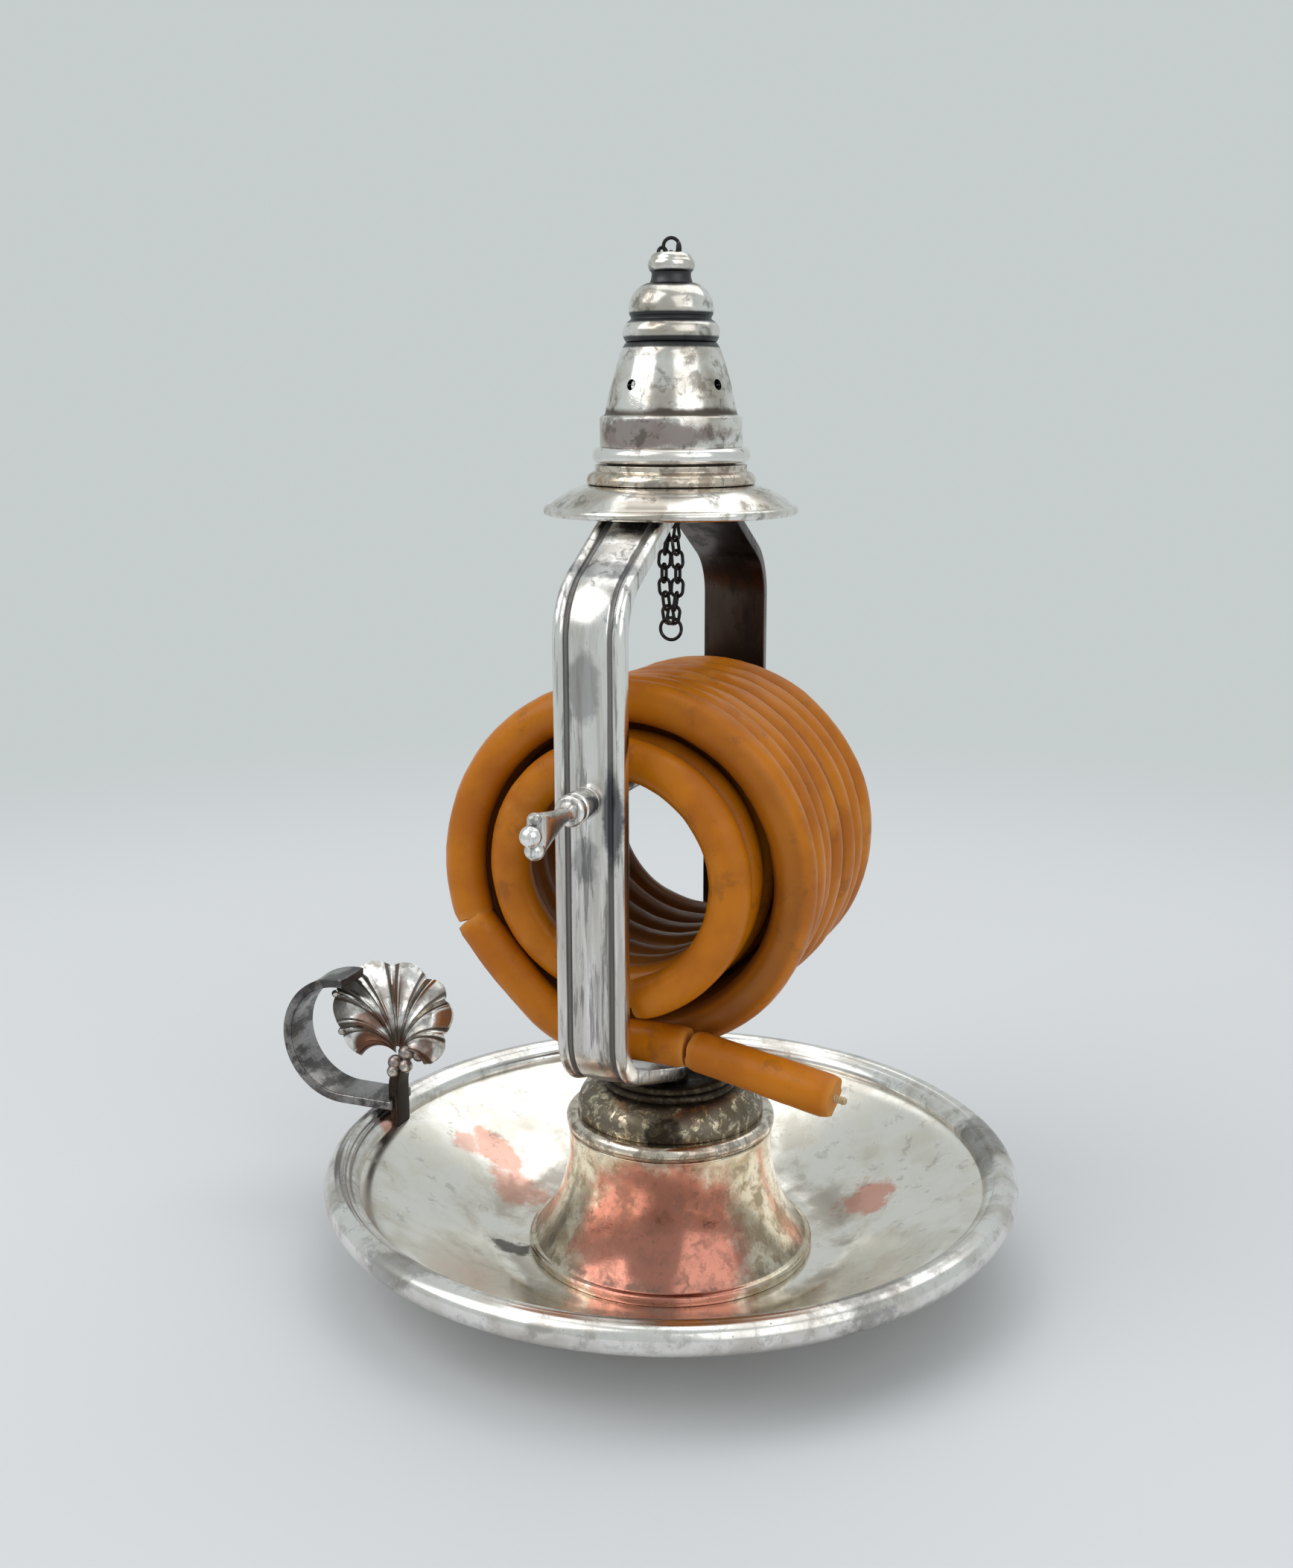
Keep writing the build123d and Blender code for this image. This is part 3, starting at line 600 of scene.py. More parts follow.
@dataclass(frozen=True)
class Wax:
    """Aged amber wax: its colours, sheen and grime, and painted shade between touching turns and inside the coil's
    bore.
    """

    name: str = "amber_wax"
    light: Rgb = (0.57, 0.18, 0.004)
    deep: Rgb = (0.36, 0.09, 0.003)
    pale: Rgb = (0.68, 0.30, 0.06)
    # grime colours the specks and blotches, and also the painted shade between touching turns and inside the bore
    grime: Rgb = (0.10, 0.04, 0.014)
    roughness: float = 0.3
    glow: float = 0.1
    axis_z: float = 65.2

    def material(self, groups: Groups) -> bpy.types.Material:
        """Builds the material.

        Args:
            groups: the shared shader groups.

        Returns:
            The new material.
        """
        material, shade, principled = blank_material(self.name)
        place_at = shade.add("TexCoord").outputs["Object"]
        tarnish = groups.use(
            shade, groups.tarnish, Vector=place_at, Size=5.0, Cover=0.4, Offset=(0.3, 0.1, 0.7)
        )
        cut = shade.add("Attribute", attribute_name="broken").outputs["Fac"]
        colour = shade.blend(shade.math("MULTIPLY", tarnish.outputs["Cloud"], 0.55), self.light, self.deep)
        rubbed = shade.ramp(shade.noise(place_at, 95.0, 4.0, 0.6), 0.58, 0.7)
        colour = shade.blend(shade.math("MULTIPLY", rubbed, 0.35), colour, self.pale)
        colour = shade.blend(shade.math("MULTIPLY", tarnish.outputs["Speck"], 0.55), colour, self.grime)
        colour = shade.blend(shade.math("MULTIPLY", tarnish.outputs["Blotch"], 0.3), colour, self.grime)
        # painted shade: darkens the gaps between touching turns and the inside of the coil's bore
        colour = shade.blend(self.painted_gap_shade(shade, place_at), colour, self.grime)
        colour = shade.blend(shade.math("MULTIPLY", cut, 0.55), colour, self.pale)
        shade.tree.links.new(colour, principled.inputs["Base Color"])
        rough = shade.math("MULTIPLY", tarnish.outputs["Cloud"], 0.16)
        rough = shade.math("ADD", rough, shade.math("MULTIPLY", cut, 0.25))
        shade.tree.links.new(shade.math("ADD", rough, self.roughness), principled.inputs["Roughness"])
        principled.inputs["Subsurface Weight"].default_value = self.glow
        principled.inputs["Subsurface Radius"].default_value = (1.0, 0.4, 0.12)
        principled.inputs["Subsurface Scale"].default_value = 0.0022
        principled.inputs["Specular IOR Level"].default_value = 0.26
        grain = shade.noise(place_at, 900.0, 3.0, 0.6)
        lumps = shade.noise(place_at, 150.0, 3.0, 0.5)
        height = shade.math("ADD", lumps, shade.math("MULTIPLY", grain, 0.12))
        height = shade.math("SUBTRACT", height, shade.math("MULTIPLY", tarnish.outputs["Speck"], 0.2))
        bump = shade.add("Bump", {"Strength": 0.3, "Distance": 0.0005, "Height": height})
        shade.tree.links.new(bump.outputs[0], principled.inputs["Normal"])
        return material

    def painted_gap_shade(self, shade: Shader, place_at: bpy.types.NodeSocket) -> bpy.types.NodeSocket:
        """Writes the mask of the painted shade between turns that touch, and inside the coil's bore.

        Args:
            shade: the writer of the material's nodes.
            place_at: the object's coordinates.

        Returns:
            The mask.
        """
        normal = shade.add("TexCoord").outputs["Normal"]
        sideways = shade.math("ABSOLUTE", shade.add("SeparateXYZ", {0: normal}).outputs["Y"])
        inside = shade.ramp(shade.add("SeparateXYZ", {0: place_at}).outputs["Y"], -0.0215, -0.0165)
        level = (0.0, 0.0, -self.axis_z * MM)
        from_axis = shade.add("VectorMath", {0: place_at, 1: level}).outputs[0]
        flat = shade.add("VectorMath", {0: from_axis, 1: (1.0, 0.0, 1.0)}, operation="MULTIPLY").outputs[0]
        outward = shade.add("VectorMath", {0: flat}, operation="NORMALIZE").outputs[0]
        facing = shade.add("VectorMath", {0: normal, 1: outward}, operation="DOT_PRODUCT").outputs["Value"]
        bore = shade.math("MULTIPLY", shade.ramp(facing, -0.15, -0.8), 0.75)
        seam = shade.math("MULTIPLY", shade.ramp(sideways, 0.62, 0.97), 0.8)
        return shade.math("MULTIPLY", shade.math("MAXIMUM", bore, seam), inside)


@dataclass(frozen=True)
class Wick:
    """A waxed cotton strand."""

    name: str = "wick_cotton"
    colour: Rgb = (0.74, 0.60, 0.38)
    char: Rgb = (0.30, 0.17, 0.08)

    def material(self, groups: Groups) -> bpy.types.Material:
        """Builds the material from the shared groups."""
        material, shade, principled = blank_material(self.name)
        place_at = shade.add("TexCoord").outputs["Object"]
        strands = shade.add("TexWave", {"Vector": place_at, "Scale": 900.0, "Distortion": 4.0}).outputs["Fac"]
        marks = groups.use(shade, groups.tarnish, Vector=place_at, Size=1.2, Cover=0.5)
        colour = shade.blend(shade.math("MULTIPLY", strands, 0.5), self.colour, self.char)
        colour = shade.blend(shade.math("MULTIPLY", marks.outputs["Blotch"], 0.5), colour, self.char)
        shade.tree.links.new(colour, principled.inputs["Base Color"])
        principled.inputs["Roughness"].default_value = 0.75
        bump = shade.add("Bump", {"Strength": 0.6, "Distance": 0.0001, "Height": strands})
        shade.tree.links.new(bump.outputs[0], principled.inputs["Normal"])
        return material


@dataclass(frozen=True)
class Blackened:
    """Blackened chain wire, rubbed bright in random patches."""

    name: str = "blackened_wire"
    black: Rgb = (0.022, 0.02, 0.019)
    rubbed: Rgb = (0.16, 0.15, 0.14)

    def material(self, groups: Groups) -> bpy.types.Material:
        """Builds the material from the shared groups."""
        material, shade, principled = blank_material(self.name)
        place_at = shade.add("TexCoord").outputs["Object"]
        marks = groups.use(shade, groups.tarnish, Vector=place_at, Size=1.4, Cover=0.4)
        colour = shade.blend(shade.math("MULTIPLY", marks.outputs["Blotch"], 0.8), self.black, self.rubbed)
        shade.tree.links.new(colour, principled.inputs["Base Color"])
        rough = shade.math("SUBTRACT", 0.5, shade.math("MULTIPLY", marks.outputs["Blotch"], 0.2))
        shade.tree.links.new(rough, principled.inputs["Roughness"])
        principled.inputs["Metallic"].default_value = 0.7
        return material


def hash_of(text: str) -> int:
    """A fixed number for a name, the same in every run."""
    value = 7
    for letter in text:
        value = (value * 131 + ord(letter)) % 2097143
    return value


def blank_material(name: str) -> tuple[bpy.types.Material, Shader, bpy.types.Node]:
    """Starts a material with a Principled shader and returns it, its writer and the shader."""
    material = bpy.data.materials.new(name)
    material.use_nodes = True
    return material, Shader(material.node_tree), material.node_tree.nodes["Principled BSDF"]


BRIGHT = Plate("bright_plate", silver=(0.86, 0.845, 0.82), cover=0.42, blotch_mm=3.0, crevice=0.95)
STRAP = Plate(
    "strap_plate",
    silver=(0.92, 0.905, 0.88),
    warm=(0.48, 0.44, 0.40),
    tarnish=(0.055, 0.048, 0.045),
    warmth=0.8,
    cover=0.5,
    blotch_mm=1.6,
    blotch_depth=0.6,
    speck_depth=0.6,
    grain=(1.0, 1.0, 0.07),
    crevice=0.8,
    crevice_from=0.2,
    crevice_to=0.75,
    roughness=0.17,
    stain=(0.03, 0.036, 0.052),
    stains=(
        Patch((3.4, -31.0, 76.0), (1.5, 3.0, 8.0), 0.3, 0.8),
        Patch((-0.6, -31.0, 93.0), (2.4, 3.0, 5.0), 0.3, 0.45),
        Patch((-0.5, -31.0, 70.0), (2.2, 3.0, 3.5), 0.4, 0.4),
        Patch((0.0, -26.0, 37.6), (6.5, 7.0, 1.5), 0.25, 0.75),
        Patch((0.0, -26.0, 108.0), (6.5, 3.0, 1.4), 0.4, 0.6),
    ),
)
RIM = Plate(
    "rim_plate",
    silver=(0.84, 0.82, 0.79),
    warm=(0.50, 0.45, 0.40),
    cover=0.5,
    warmth=0.7,
    blotch_mm=3.4,
    blotch_depth=0.28,
    speck_depth=0.8,
    crevice=1.0,
    bleed=(Patch((-46.2, -3.6, 14.6), (2.6, 3.2, 3.0), 0.5),),
    stains=(
        Patch((44.0, 20.0, 14.0), (5.0, 14.0, 4.0), 0.4, 0.55),
        Patch((38.0, -30.0, 14.0), (6.0, 8.0, 4.0), 0.5, 0.5),
        Patch((-20.0, -46.0, 14.0), (8.0, 3.0, 4.0), 0.5, 0.45),
    ),
)
CAP_PLATE = Plate(
    "cap_plate",
    silver=(0.86, 0.84, 0.80),
    warm=(0.44, 0.38, 0.31),
    warmth=0.8,
    cover=0.5,
    blotch_mm=3.0,
    blotch_depth=0.6,
    crevice=1.0,
    crevice_from=0.2,
    crevice_to=0.7,
    roughness=0.12,
    bleed=(Patch((0.0, -8.0, 124.6), (12.0, 6.0, 2.2), 0.5, 0.75),),
    copper=(0.27, 0.19, 0.18),
    stain=(0.028, 0.03, 0.034),
)
TRAY = Plate(
    "tray_plate",
    silver=(0.86, 0.83, 0.77),
    warm=(0.66, 0.60, 0.50),
    warmth=0.6,
    cover=0.4,
    blotch_mm=3.5,
    blotch_depth=0.3,
    speck_depth=0.6,
    roughness=0.15,
    bleed=(
        Patch((-27.0, 3.0, 5.0), (6.5, 5.0, 5.0), 0.5, 0.8),
        Patch((-34.0, 8.0, 7.0), (5.0, 3.4, 6.0), 0.6, 0.8),
        Patch((-38.8, 5.4, 7.0), (3.0, 2.6, 6.0), 0.6, 0.7),
        Patch((27.5, 16.3, 5.0), (5.5, 4.6, 5.0), 0.5, 0.9),
    ),
    # darkens a small patch of the dish next to the pedestal's foot
    stains=(Patch((-21.2, -13.0, 3.0), (3.6, 2.0, 4.0), 0.6, 0.85),),
)
FOOT = Plate(
    "foot_plate",
    silver=(0.66, 0.60, 0.49),
    warm=(0.46, 0.37, 0.24),
    copper=(0.48, 0.20, 0.145),
    warmth=0.9,
    cover=0.5,
    blotch_mm=1.3,
    blotch_depth=0.35,
    speck_depth=0.75,
    roughness=0.12,
    bleed=(Patch((5.5, -17.5, 9.0), (16.0, 12.0, 13.5), 0.22, 1.0),),
)
SHOULDER = Plate(
    "shoulder_plate",
    silver=(0.62, 0.54, 0.40),
    warm=(0.42, 0.31, 0.17),
    warmth=0.9,
    cover=0.8,
    blotch_mm=1.5,
    blotch_depth=0.8,
    speck_depth=0.85,
    crevice=1.0,
    roughness=0.2,
    stain=(0.02, 0.014, 0.011),
    stains=(
        Patch((0, 0, 29.0), (60, 60, 1.7), 0.1, 0.85),
        Patch((4.0, -13.0, 24.0), (3.0, 4.0, 3.0), 0.5, 0.85),
    ),
)
COLLAR = Plate(
    "collar_plate",
    silver=(0.74, 0.67, 0.58),
    warm=(0.50, 0.38, 0.28),
    warmth=0.8,
    cover=0.6,
    blotch_mm=1.8,
    blotch_depth=0.55,
    speck_depth=0.7,
)
BACK_STRAP = Plate(
    "tarnished_plate",
    silver=(0.075, 0.055, 0.045),
    warm=(0.03, 0.02, 0.017),
    tarnish=(0.015, 0.011, 0.01),
    warmth=0.8,
    cover=0.7,
    blotch_mm=6.0,
    grain=(1.0, 1.0, 0.3),
    roughness=0.26,
    dulling=0.25,
)
RING = Plate(
    "ring_plate",
    silver=(0.30, 0.285, 0.28),
    warm=(0.06, 0.05, 0.048),
    tarnish=(0.02, 0.018, 0.018),
    cover=0.7,
    warmth=0.95,
    blotch_mm=4.5,
    blotch_depth=0.7,
    grain=(1.0, 0.45, 1.0),
    roughness=0.2,
)
SHELL = Plate(
    "shell_plate",
    silver=(0.80, 0.79, 0.77),
    warm=(0.36, 0.33, 0.30),
    cover=0.5,
    warmth=0.8,
    blotch_mm=2.0,
    blotch_depth=0.5,
    crevice=1.0,
    crevice_from=0.05,
    crevice_to=0.6,
    # painted shade, in dark brown: the stains below darken the shell's two left-hand flutes, which lie in shade
    stain=(0.12, 0.045, 0.02),
    stains=(
        Patch((-52.2, -1.0, 26.2), (3.4, 6.0, 2.2), 0.15, 0.95),
        Patch((-52.6, -1.0, 29.6), (3.6, 6.0, 1.5), 0.15, 0.85),
        Patch((-43.0, -1.0, 25.8), (1.6, 6.0, 2.4), 0.3, 0.7),
        Patch((-47.2, -1.0, 25.0), (3.0, 6.0, 2.4), 0.5, 0.6),
    ),
)


# Sub-assemblies


@dataclass
class TraySet:
    """The dished tray and its applied border."""

    sheet: float = 1.2
    flat_r: float = 23.0
    bend_r: float = 11.6
    slope: float = 30.0
    dish_r: float = 44.8
    band_w: float = 2.8
    band_rise: float = 1.0
    flange_w: float = 3.5
    reed_rise: float = 2.2
    crest_rise: float = 2.8
    bead_w: float = 1.75
    hook: float = 1.6

    def dish_z(self) -> float:
        """Height of the dish's upper edge."""
        slope = math.radians(self.slope)
        run = self.dish_r - self.flat_r - self.bend_r * math.sin(slope)
        return self.sheet + self.bend_r * (1 - math.cos(slope)) + run * math.tan(slope)

    def build(self, groups: Groups) -> None:
        """Builds the tray and its border."""
        slope = math.radians(self.slope)
        dish_z = self.dish_z()
        flange_in = self.dish_r + self.band_w
        flange_r = flange_in + self.flange_w
        flange_z = dish_z + self.band_rise
        bend = [math.radians(a) for a in np.linspace(0, self.slope, 14)]
        top = [(self.flat_r + self.bend_r * math.sin(a), self.sheet + self.bend_r * (1 - math.cos(a))) for a in bend]
        outer = self.bend_r + self.sheet
        under = [(self.flat_r + outer * math.sin(a), outer * (1 - math.cos(a))) for a in bend]
        outline = [(0, self.sheet)] + top
        outline += [(self.dish_r, dish_z), (flange_in, flange_z), (flange_r, flange_z)]
        outline += [(flange_r, flange_z - self.sheet), (flange_in, flange_z - self.sheet)]
        outline += [(self.dish_r + self.sheet * math.sin(slope), dish_z - self.sheet * math.cos(slope))]
        outline += under[::-1] + [(0, 0)]
        tray = lathe("tray_dish", outline, segments=160, round_by=0.5)
        place(tray, Body.STAND, Slot.WORN, TRAY.material(groups), "tray")
        crest_z = flange_z + self.crest_rise
        reed_in = (flange_in, flange_z)
        reed_split = (flange_in + self.flange_w * 0.45, flange_z + self.reed_rise)
        bead_split = (flange_r - 0.2, crest_z - 0.15)
        bead_out = (flange_r + self.bead_w, flange_z + self.hook * 0.6)
        bead_low = (flange_r + self.bead_w * 0.4, flange_z - self.hook)
        border = arc(reed_in, reed_split, 0.45) + arc(reed_split, bead_split, 0.3)
        border += arc(bead_split, bead_out, 0.45) + arc(bead_out, bead_low, 0.4)
        border += [bead_low, (flange_r, flange_z - self.sheet), (flange_r, flange_z)]
        rim = lathe("tray_rim", border, segments=176, round_by=0.12)
        place(rim, Body.STAND, Slot.BRIGHT, RIM.material(groups), "tray_border")


@dataclass
class Pedestal:
    """The bell foot, its moulding, the domed shoulder, the neck and the stud in it."""

    foot_r: float = 22.0
    foot_edge: float = 0.9
    top_r: float = 15.7
    sheet: float = 1.0
    waist: float = 1.9
    moulding_r: float = 16.05
    shoulder_r: float = 14.2
    neck_r: float = 10.3
    neck_bore_r: float = 8.6
    stud_d: float = 3.0
    stud_head_d: float = 5.4
    stud_head_h: float = 1.0

    def build(self, groups: Groups) -> None:
        """Builds the pedestal's pieces."""
        low, top = node_low("pedestal"), node_high("pedestal")
        foot_top = (self.foot_r - 0.9, low + self.foot_edge + 0.63)
        wall_in = (self.top_r - self.sheet, top)
        outline = [(self.foot_r - 2.4, low), (self.foot_r, low)]
        outline += arc((self.foot_r, low + self.foot_edge), foot_top, -0.2, 5)
        outline += arc(foot_top, (self.top_r, top), self.waist, 18) + [(self.top_r, top)]
        outline += arc(wall_in, (self.foot_r - 2.4, low), -self.waist, 12)
        foot = lathe("pedestal_bell", outline, round_by=0.25)
        place(foot, Body.STAND, Slot.COPPER, FOOT.material(groups), "pedestal")
        ring_z = node_high("pedestal_moulding")
        ring_low, ring_high = (self.moulding_r - 0.6, top), (self.moulding_r - 0.9, ring_z)
        inner = self.shoulder_r - self.sheet
        ring = arc(ring_low, ring_high, -0.7, 12) + [ring_high, (inner, ring_z), (inner, top)]
        moulding = lathe("pedestal_ring", ring, round_by=0.1)
        place(moulding, Body.STAND, Slot.BRIGHT, COLLAR.material(groups), "pedestal_moulding")
        plate = node_high("pedestal_shoulder")
        dome_foot, dome_top = (self.shoulder_r, ring_z), (self.neck_r + 0.2, plate)
        dome = arc(dome_foot, dome_top, -1.3, 14) + [dome_top, (self.stud_d / 2, plate)]
        dome += [(self.stud_d / 2, plate - 1)]
        dome += arc((self.neck_r - 0.4, plate - 1), (inner, ring_z), 1.1, 8) + [(inner, ring_z)]
        shoulder = lathe("pedestal_dome", dome, round_by=0.15)
        place(shoulder, Body.STAND, Slot.BRIGHT, SHOULDER.material(groups), "pedestal_shoulder")
        neck_z = node_high("neck_collar")
        rim_low, rim_high = (self.neck_r, plate + (neck_z - plate) * 0.6), (self.neck_r - 0.5, neck_z)
        neck = arc((self.neck_r, plate), rim_low, 0.45, 8) + arc(rim_low, rim_high, -0.25, 6)
        neck += [rim_high, (self.neck_bore_r, neck_z), (self.neck_bore_r, plate)]
        collar = lathe("neck_ring", neck, round_by=0.15)
        place(collar, Body.STAND, Slot.BRIGHT, SHOULDER.material(groups), "neck_collar")
        stud_low, stud_top = node_low("frame_stud"), node_high("frame_stud")
        head, shank, under = self.stud_head_d / 2, self.stud_d / 2, stud_low + self.stud_head_h
        shoulder_z, foot_z = stud_top - self.stud_head_h, node_low("frame_strap_front")
        stud = [(0, stud_low), (head, stud_low), (head, under), (shank, under), (shank, plate), (head, plate)]
        stud += [(head, foot_z), (shank, foot_z), (shank, shoulder_z)]
        stud += [(head, shoulder_z), (head * 0.94, stud_top - 0.6), (head * 0.72, stud_top - 0.22)]
        stud += [(head * 0.4, stud_top - 0.05), (0, stud_top)]
        pin = lathe("neck_stud", stud, segments=48, round_by=0.12)
        place(pin, Body.STAND, Slot.TARNISHED, BACK_STRAP.material(groups), "frame_stud")


@dataclass
class Stirrup:
    """The two reeded straps that carry the spindle and the pan."""

    width: float = 10.0
    thick: float = 2.2
    reed_w: float = 1.7
    reed_depth: float = 0.65
    panel_depth: float = 0.4
    post_y: float = 30.0
    foot_in_y: float = 8.0
    foot_angle: float = 19.0
    foot_bend_r: float = 7.0
    corner_bend_r: float = 9.0
    arm_bend_r: float = 8.0
    arm_in_y: float = 9.5
    arm_angle: float = 29.5

    def section(self) -> list[Point]:
        """The strap's section: x across it and y outwards from its middle."""
        half, face = self.width / 2, self.thick / 2
        reed_y, panel_y = face - self.reed_depth, face - self.panel_depth
        inner = half - self.reed_w
        crown = half - self.reed_w / 2
        right = arc((half, reed_y), (inner, reed_y), -self.reed_depth, 9)
        right += [(inner, reed_y), (inner - 0.35, reed_y - 0.1), (inner - 0.7, panel_y)]
        second = [(-x, y) for x, y in reversed(right)]
        bottom = [(-half, reed_y), (-half, -face), (half, -face)]
        middle = [(inner - 1.6, panel_y + 0.12), (crown * 0.2, panel_y + 0.2)]
        middle += [(-x, y) for x, y in reversed(middle)]
        return right + middle + second + bottom

    def build(self, groups: Groups) -> None:
        """Builds both straps."""
        foot_z = node_low("frame_strap_front") + self.thick / 2
        head_z = node_high("frame_strap_front") - self.thick / 2
        corner_z = head_z - (self.post_y - self.arm_in_y) * math.tan(math.radians(self.arm_angle))
        corner_cut = self.corner_bend_r * math.tan(math.radians((90 - self.arm_angle) / 2))
        head_cut = self.arm_bend_r * math.tan(math.radians(self.arm_angle / 2))
        arm_l = (self.post_y - self.arm_in_y) / math.cos(math.radians(self.arm_angle)) - corner_cut - head_cut
        heel_z = foot_z + (self.post_y - self.foot_in_y) * math.tan(math.radians(self.foot_angle))
        heel_cut = self.foot_bend_r * math.tan(math.radians((90 - self.foot_angle) / 2))
        instep_cut = self.arm_bend_r * math.tan(math.radians(self.foot_angle / 2))
        foot_l = (self.post_y - self.foot_in_y) / math.cos(math.radians(self.foot_angle))
        post_l = corner_z - corner_cut - heel_z - heel_cut
        turns = [
            ("run", self.foot_in_y - instep_cut, 0),
            ("bend", self.arm_bend_r, self.foot_angle),
            ("run", foot_l - heel_cut - instep_cut, 0),
            ("bend", self.foot_bend_r, 90 - self.foot_angle),
            ("run", post_l, 0),
            ("bend", self.corner_bend_r, 90 - self.arm_angle),
            ("run", arm_l, 0),
            ("bend", self.arm_bend_r, self.arm_angle),
            ("run", self.arm_in_y - head_cut, 0),
        ]
        flat = curve_path(turns, (0.0, foot_z), 0.0)
        dressed = (
            ("strap_front", "frame_strap_front", -1, Slot.BRIGHT, STRAP),
            ("strap_back", "frame_strap_back", 1, Slot.TARNISHED, BACK_STRAP),
        )
        for name, node, side, slot, finish in dressed:
            path = [Vector((0, y * side, z)) for y, z in flat]
            section = self.section() if side < 0 else [(-x, y) for x, y in self.section()]
            outwards = [(x, y * side) for x, y in section]
            strap = sweep(name, path, outwards, Vector((1, 0, 0)) * 1.0, round_by=0.12)
            place(strap, Body.STAND, slot, finish.material(groups), node)


@dataclass
class DripPan:
    """The umbrella-shaped pan, its collar and the nozzle tube."""

    sheet: float = 0.9
    floor_r: float = 11.2
    radius: float = 17.5
    drop: float = 3.2
    lip_d: float = 1.3
    collar_bore_r: float = 9.3
    collar_r: float = 11.9
    nozzle_bore_r: float = 3.2
    nozzle_wall: float = 0.9
    nozzle_flange_r: float = 6.0
    nozzle_flange_t: float = 0.7

    def build(self, groups: Groups) -> None:
        """Builds the pan's pieces."""
        floor = node_high("pan")
        inner = self.nozzle_bore_r + self.nozzle_wall
        edge_z = floor - self.drop
        top = [(inner, floor)] + arc((self.floor_r, floor), (self.radius, edge_z), 0.6, 16)
        lip_z = edge_z - self.sheet / 2
        lip_r = self.lip_d / 2
        lip = [
            (self.radius + lip_r * math.cos(a), lip_z + lip_r * math.sin(a))
            for a in np.radians(np.linspace(100, -120, 12))
        ]
        under = arc((self.radius - 0.5, edge_z - self.sheet), (self.floor_r, floor - self.sheet), -0.6, 12)
        outline = top + lip + under + [(self.floor_r, floor - self.sheet), (inner, floor - self.sheet)]
        pan = lathe("drip_pan", outline, round_by=0.2)
        place(pan, Body.STAND, Slot.BRIGHT, CAP_PLATE.material(groups), "pan")
        collar_z = node_high("pan_collar")
        height = collar_z - floor
        roll_top = (self.collar_r - 0.7, floor + height * 0.6)
        outline = arc((self.collar_r, floor), roll_top, -0.35, 8) + [roll_top]
        outline += [(self.collar_r - 1.2, floor + height * 0.7), (self.collar_r - 1.1, collar_z)]
        outline += [(self.collar_bore_r, collar_z), (self.collar_bore_r, floor)]
        collar = lathe("pan_ring", outline, round_by=0.15)
        place(collar, Body.STAND, Slot.COPPER, COLLAR.material(groups), "pan_collar")
        low, high = node_low("nozzle_tube"), node_high("nozzle_tube")
        outline = [(self.nozzle_bore_r, low), (inner, low), (inner, floor), (self.nozzle_flange_r, floor)]
        outline += [(self.nozzle_flange_r, floor + self.nozzle_flange_t), (inner, floor + self.nozzle_flange_t)]
        outline += [(inner - 0.2, high), (self.nozzle_bore_r, high)]
        nozzle = lathe("nozzle", outline, segments=72, round_by=0.15)
        place(nozzle, Body.STAND, Slot.TARNISHED, BACK_STRAP.material(groups), "nozzle_tube")


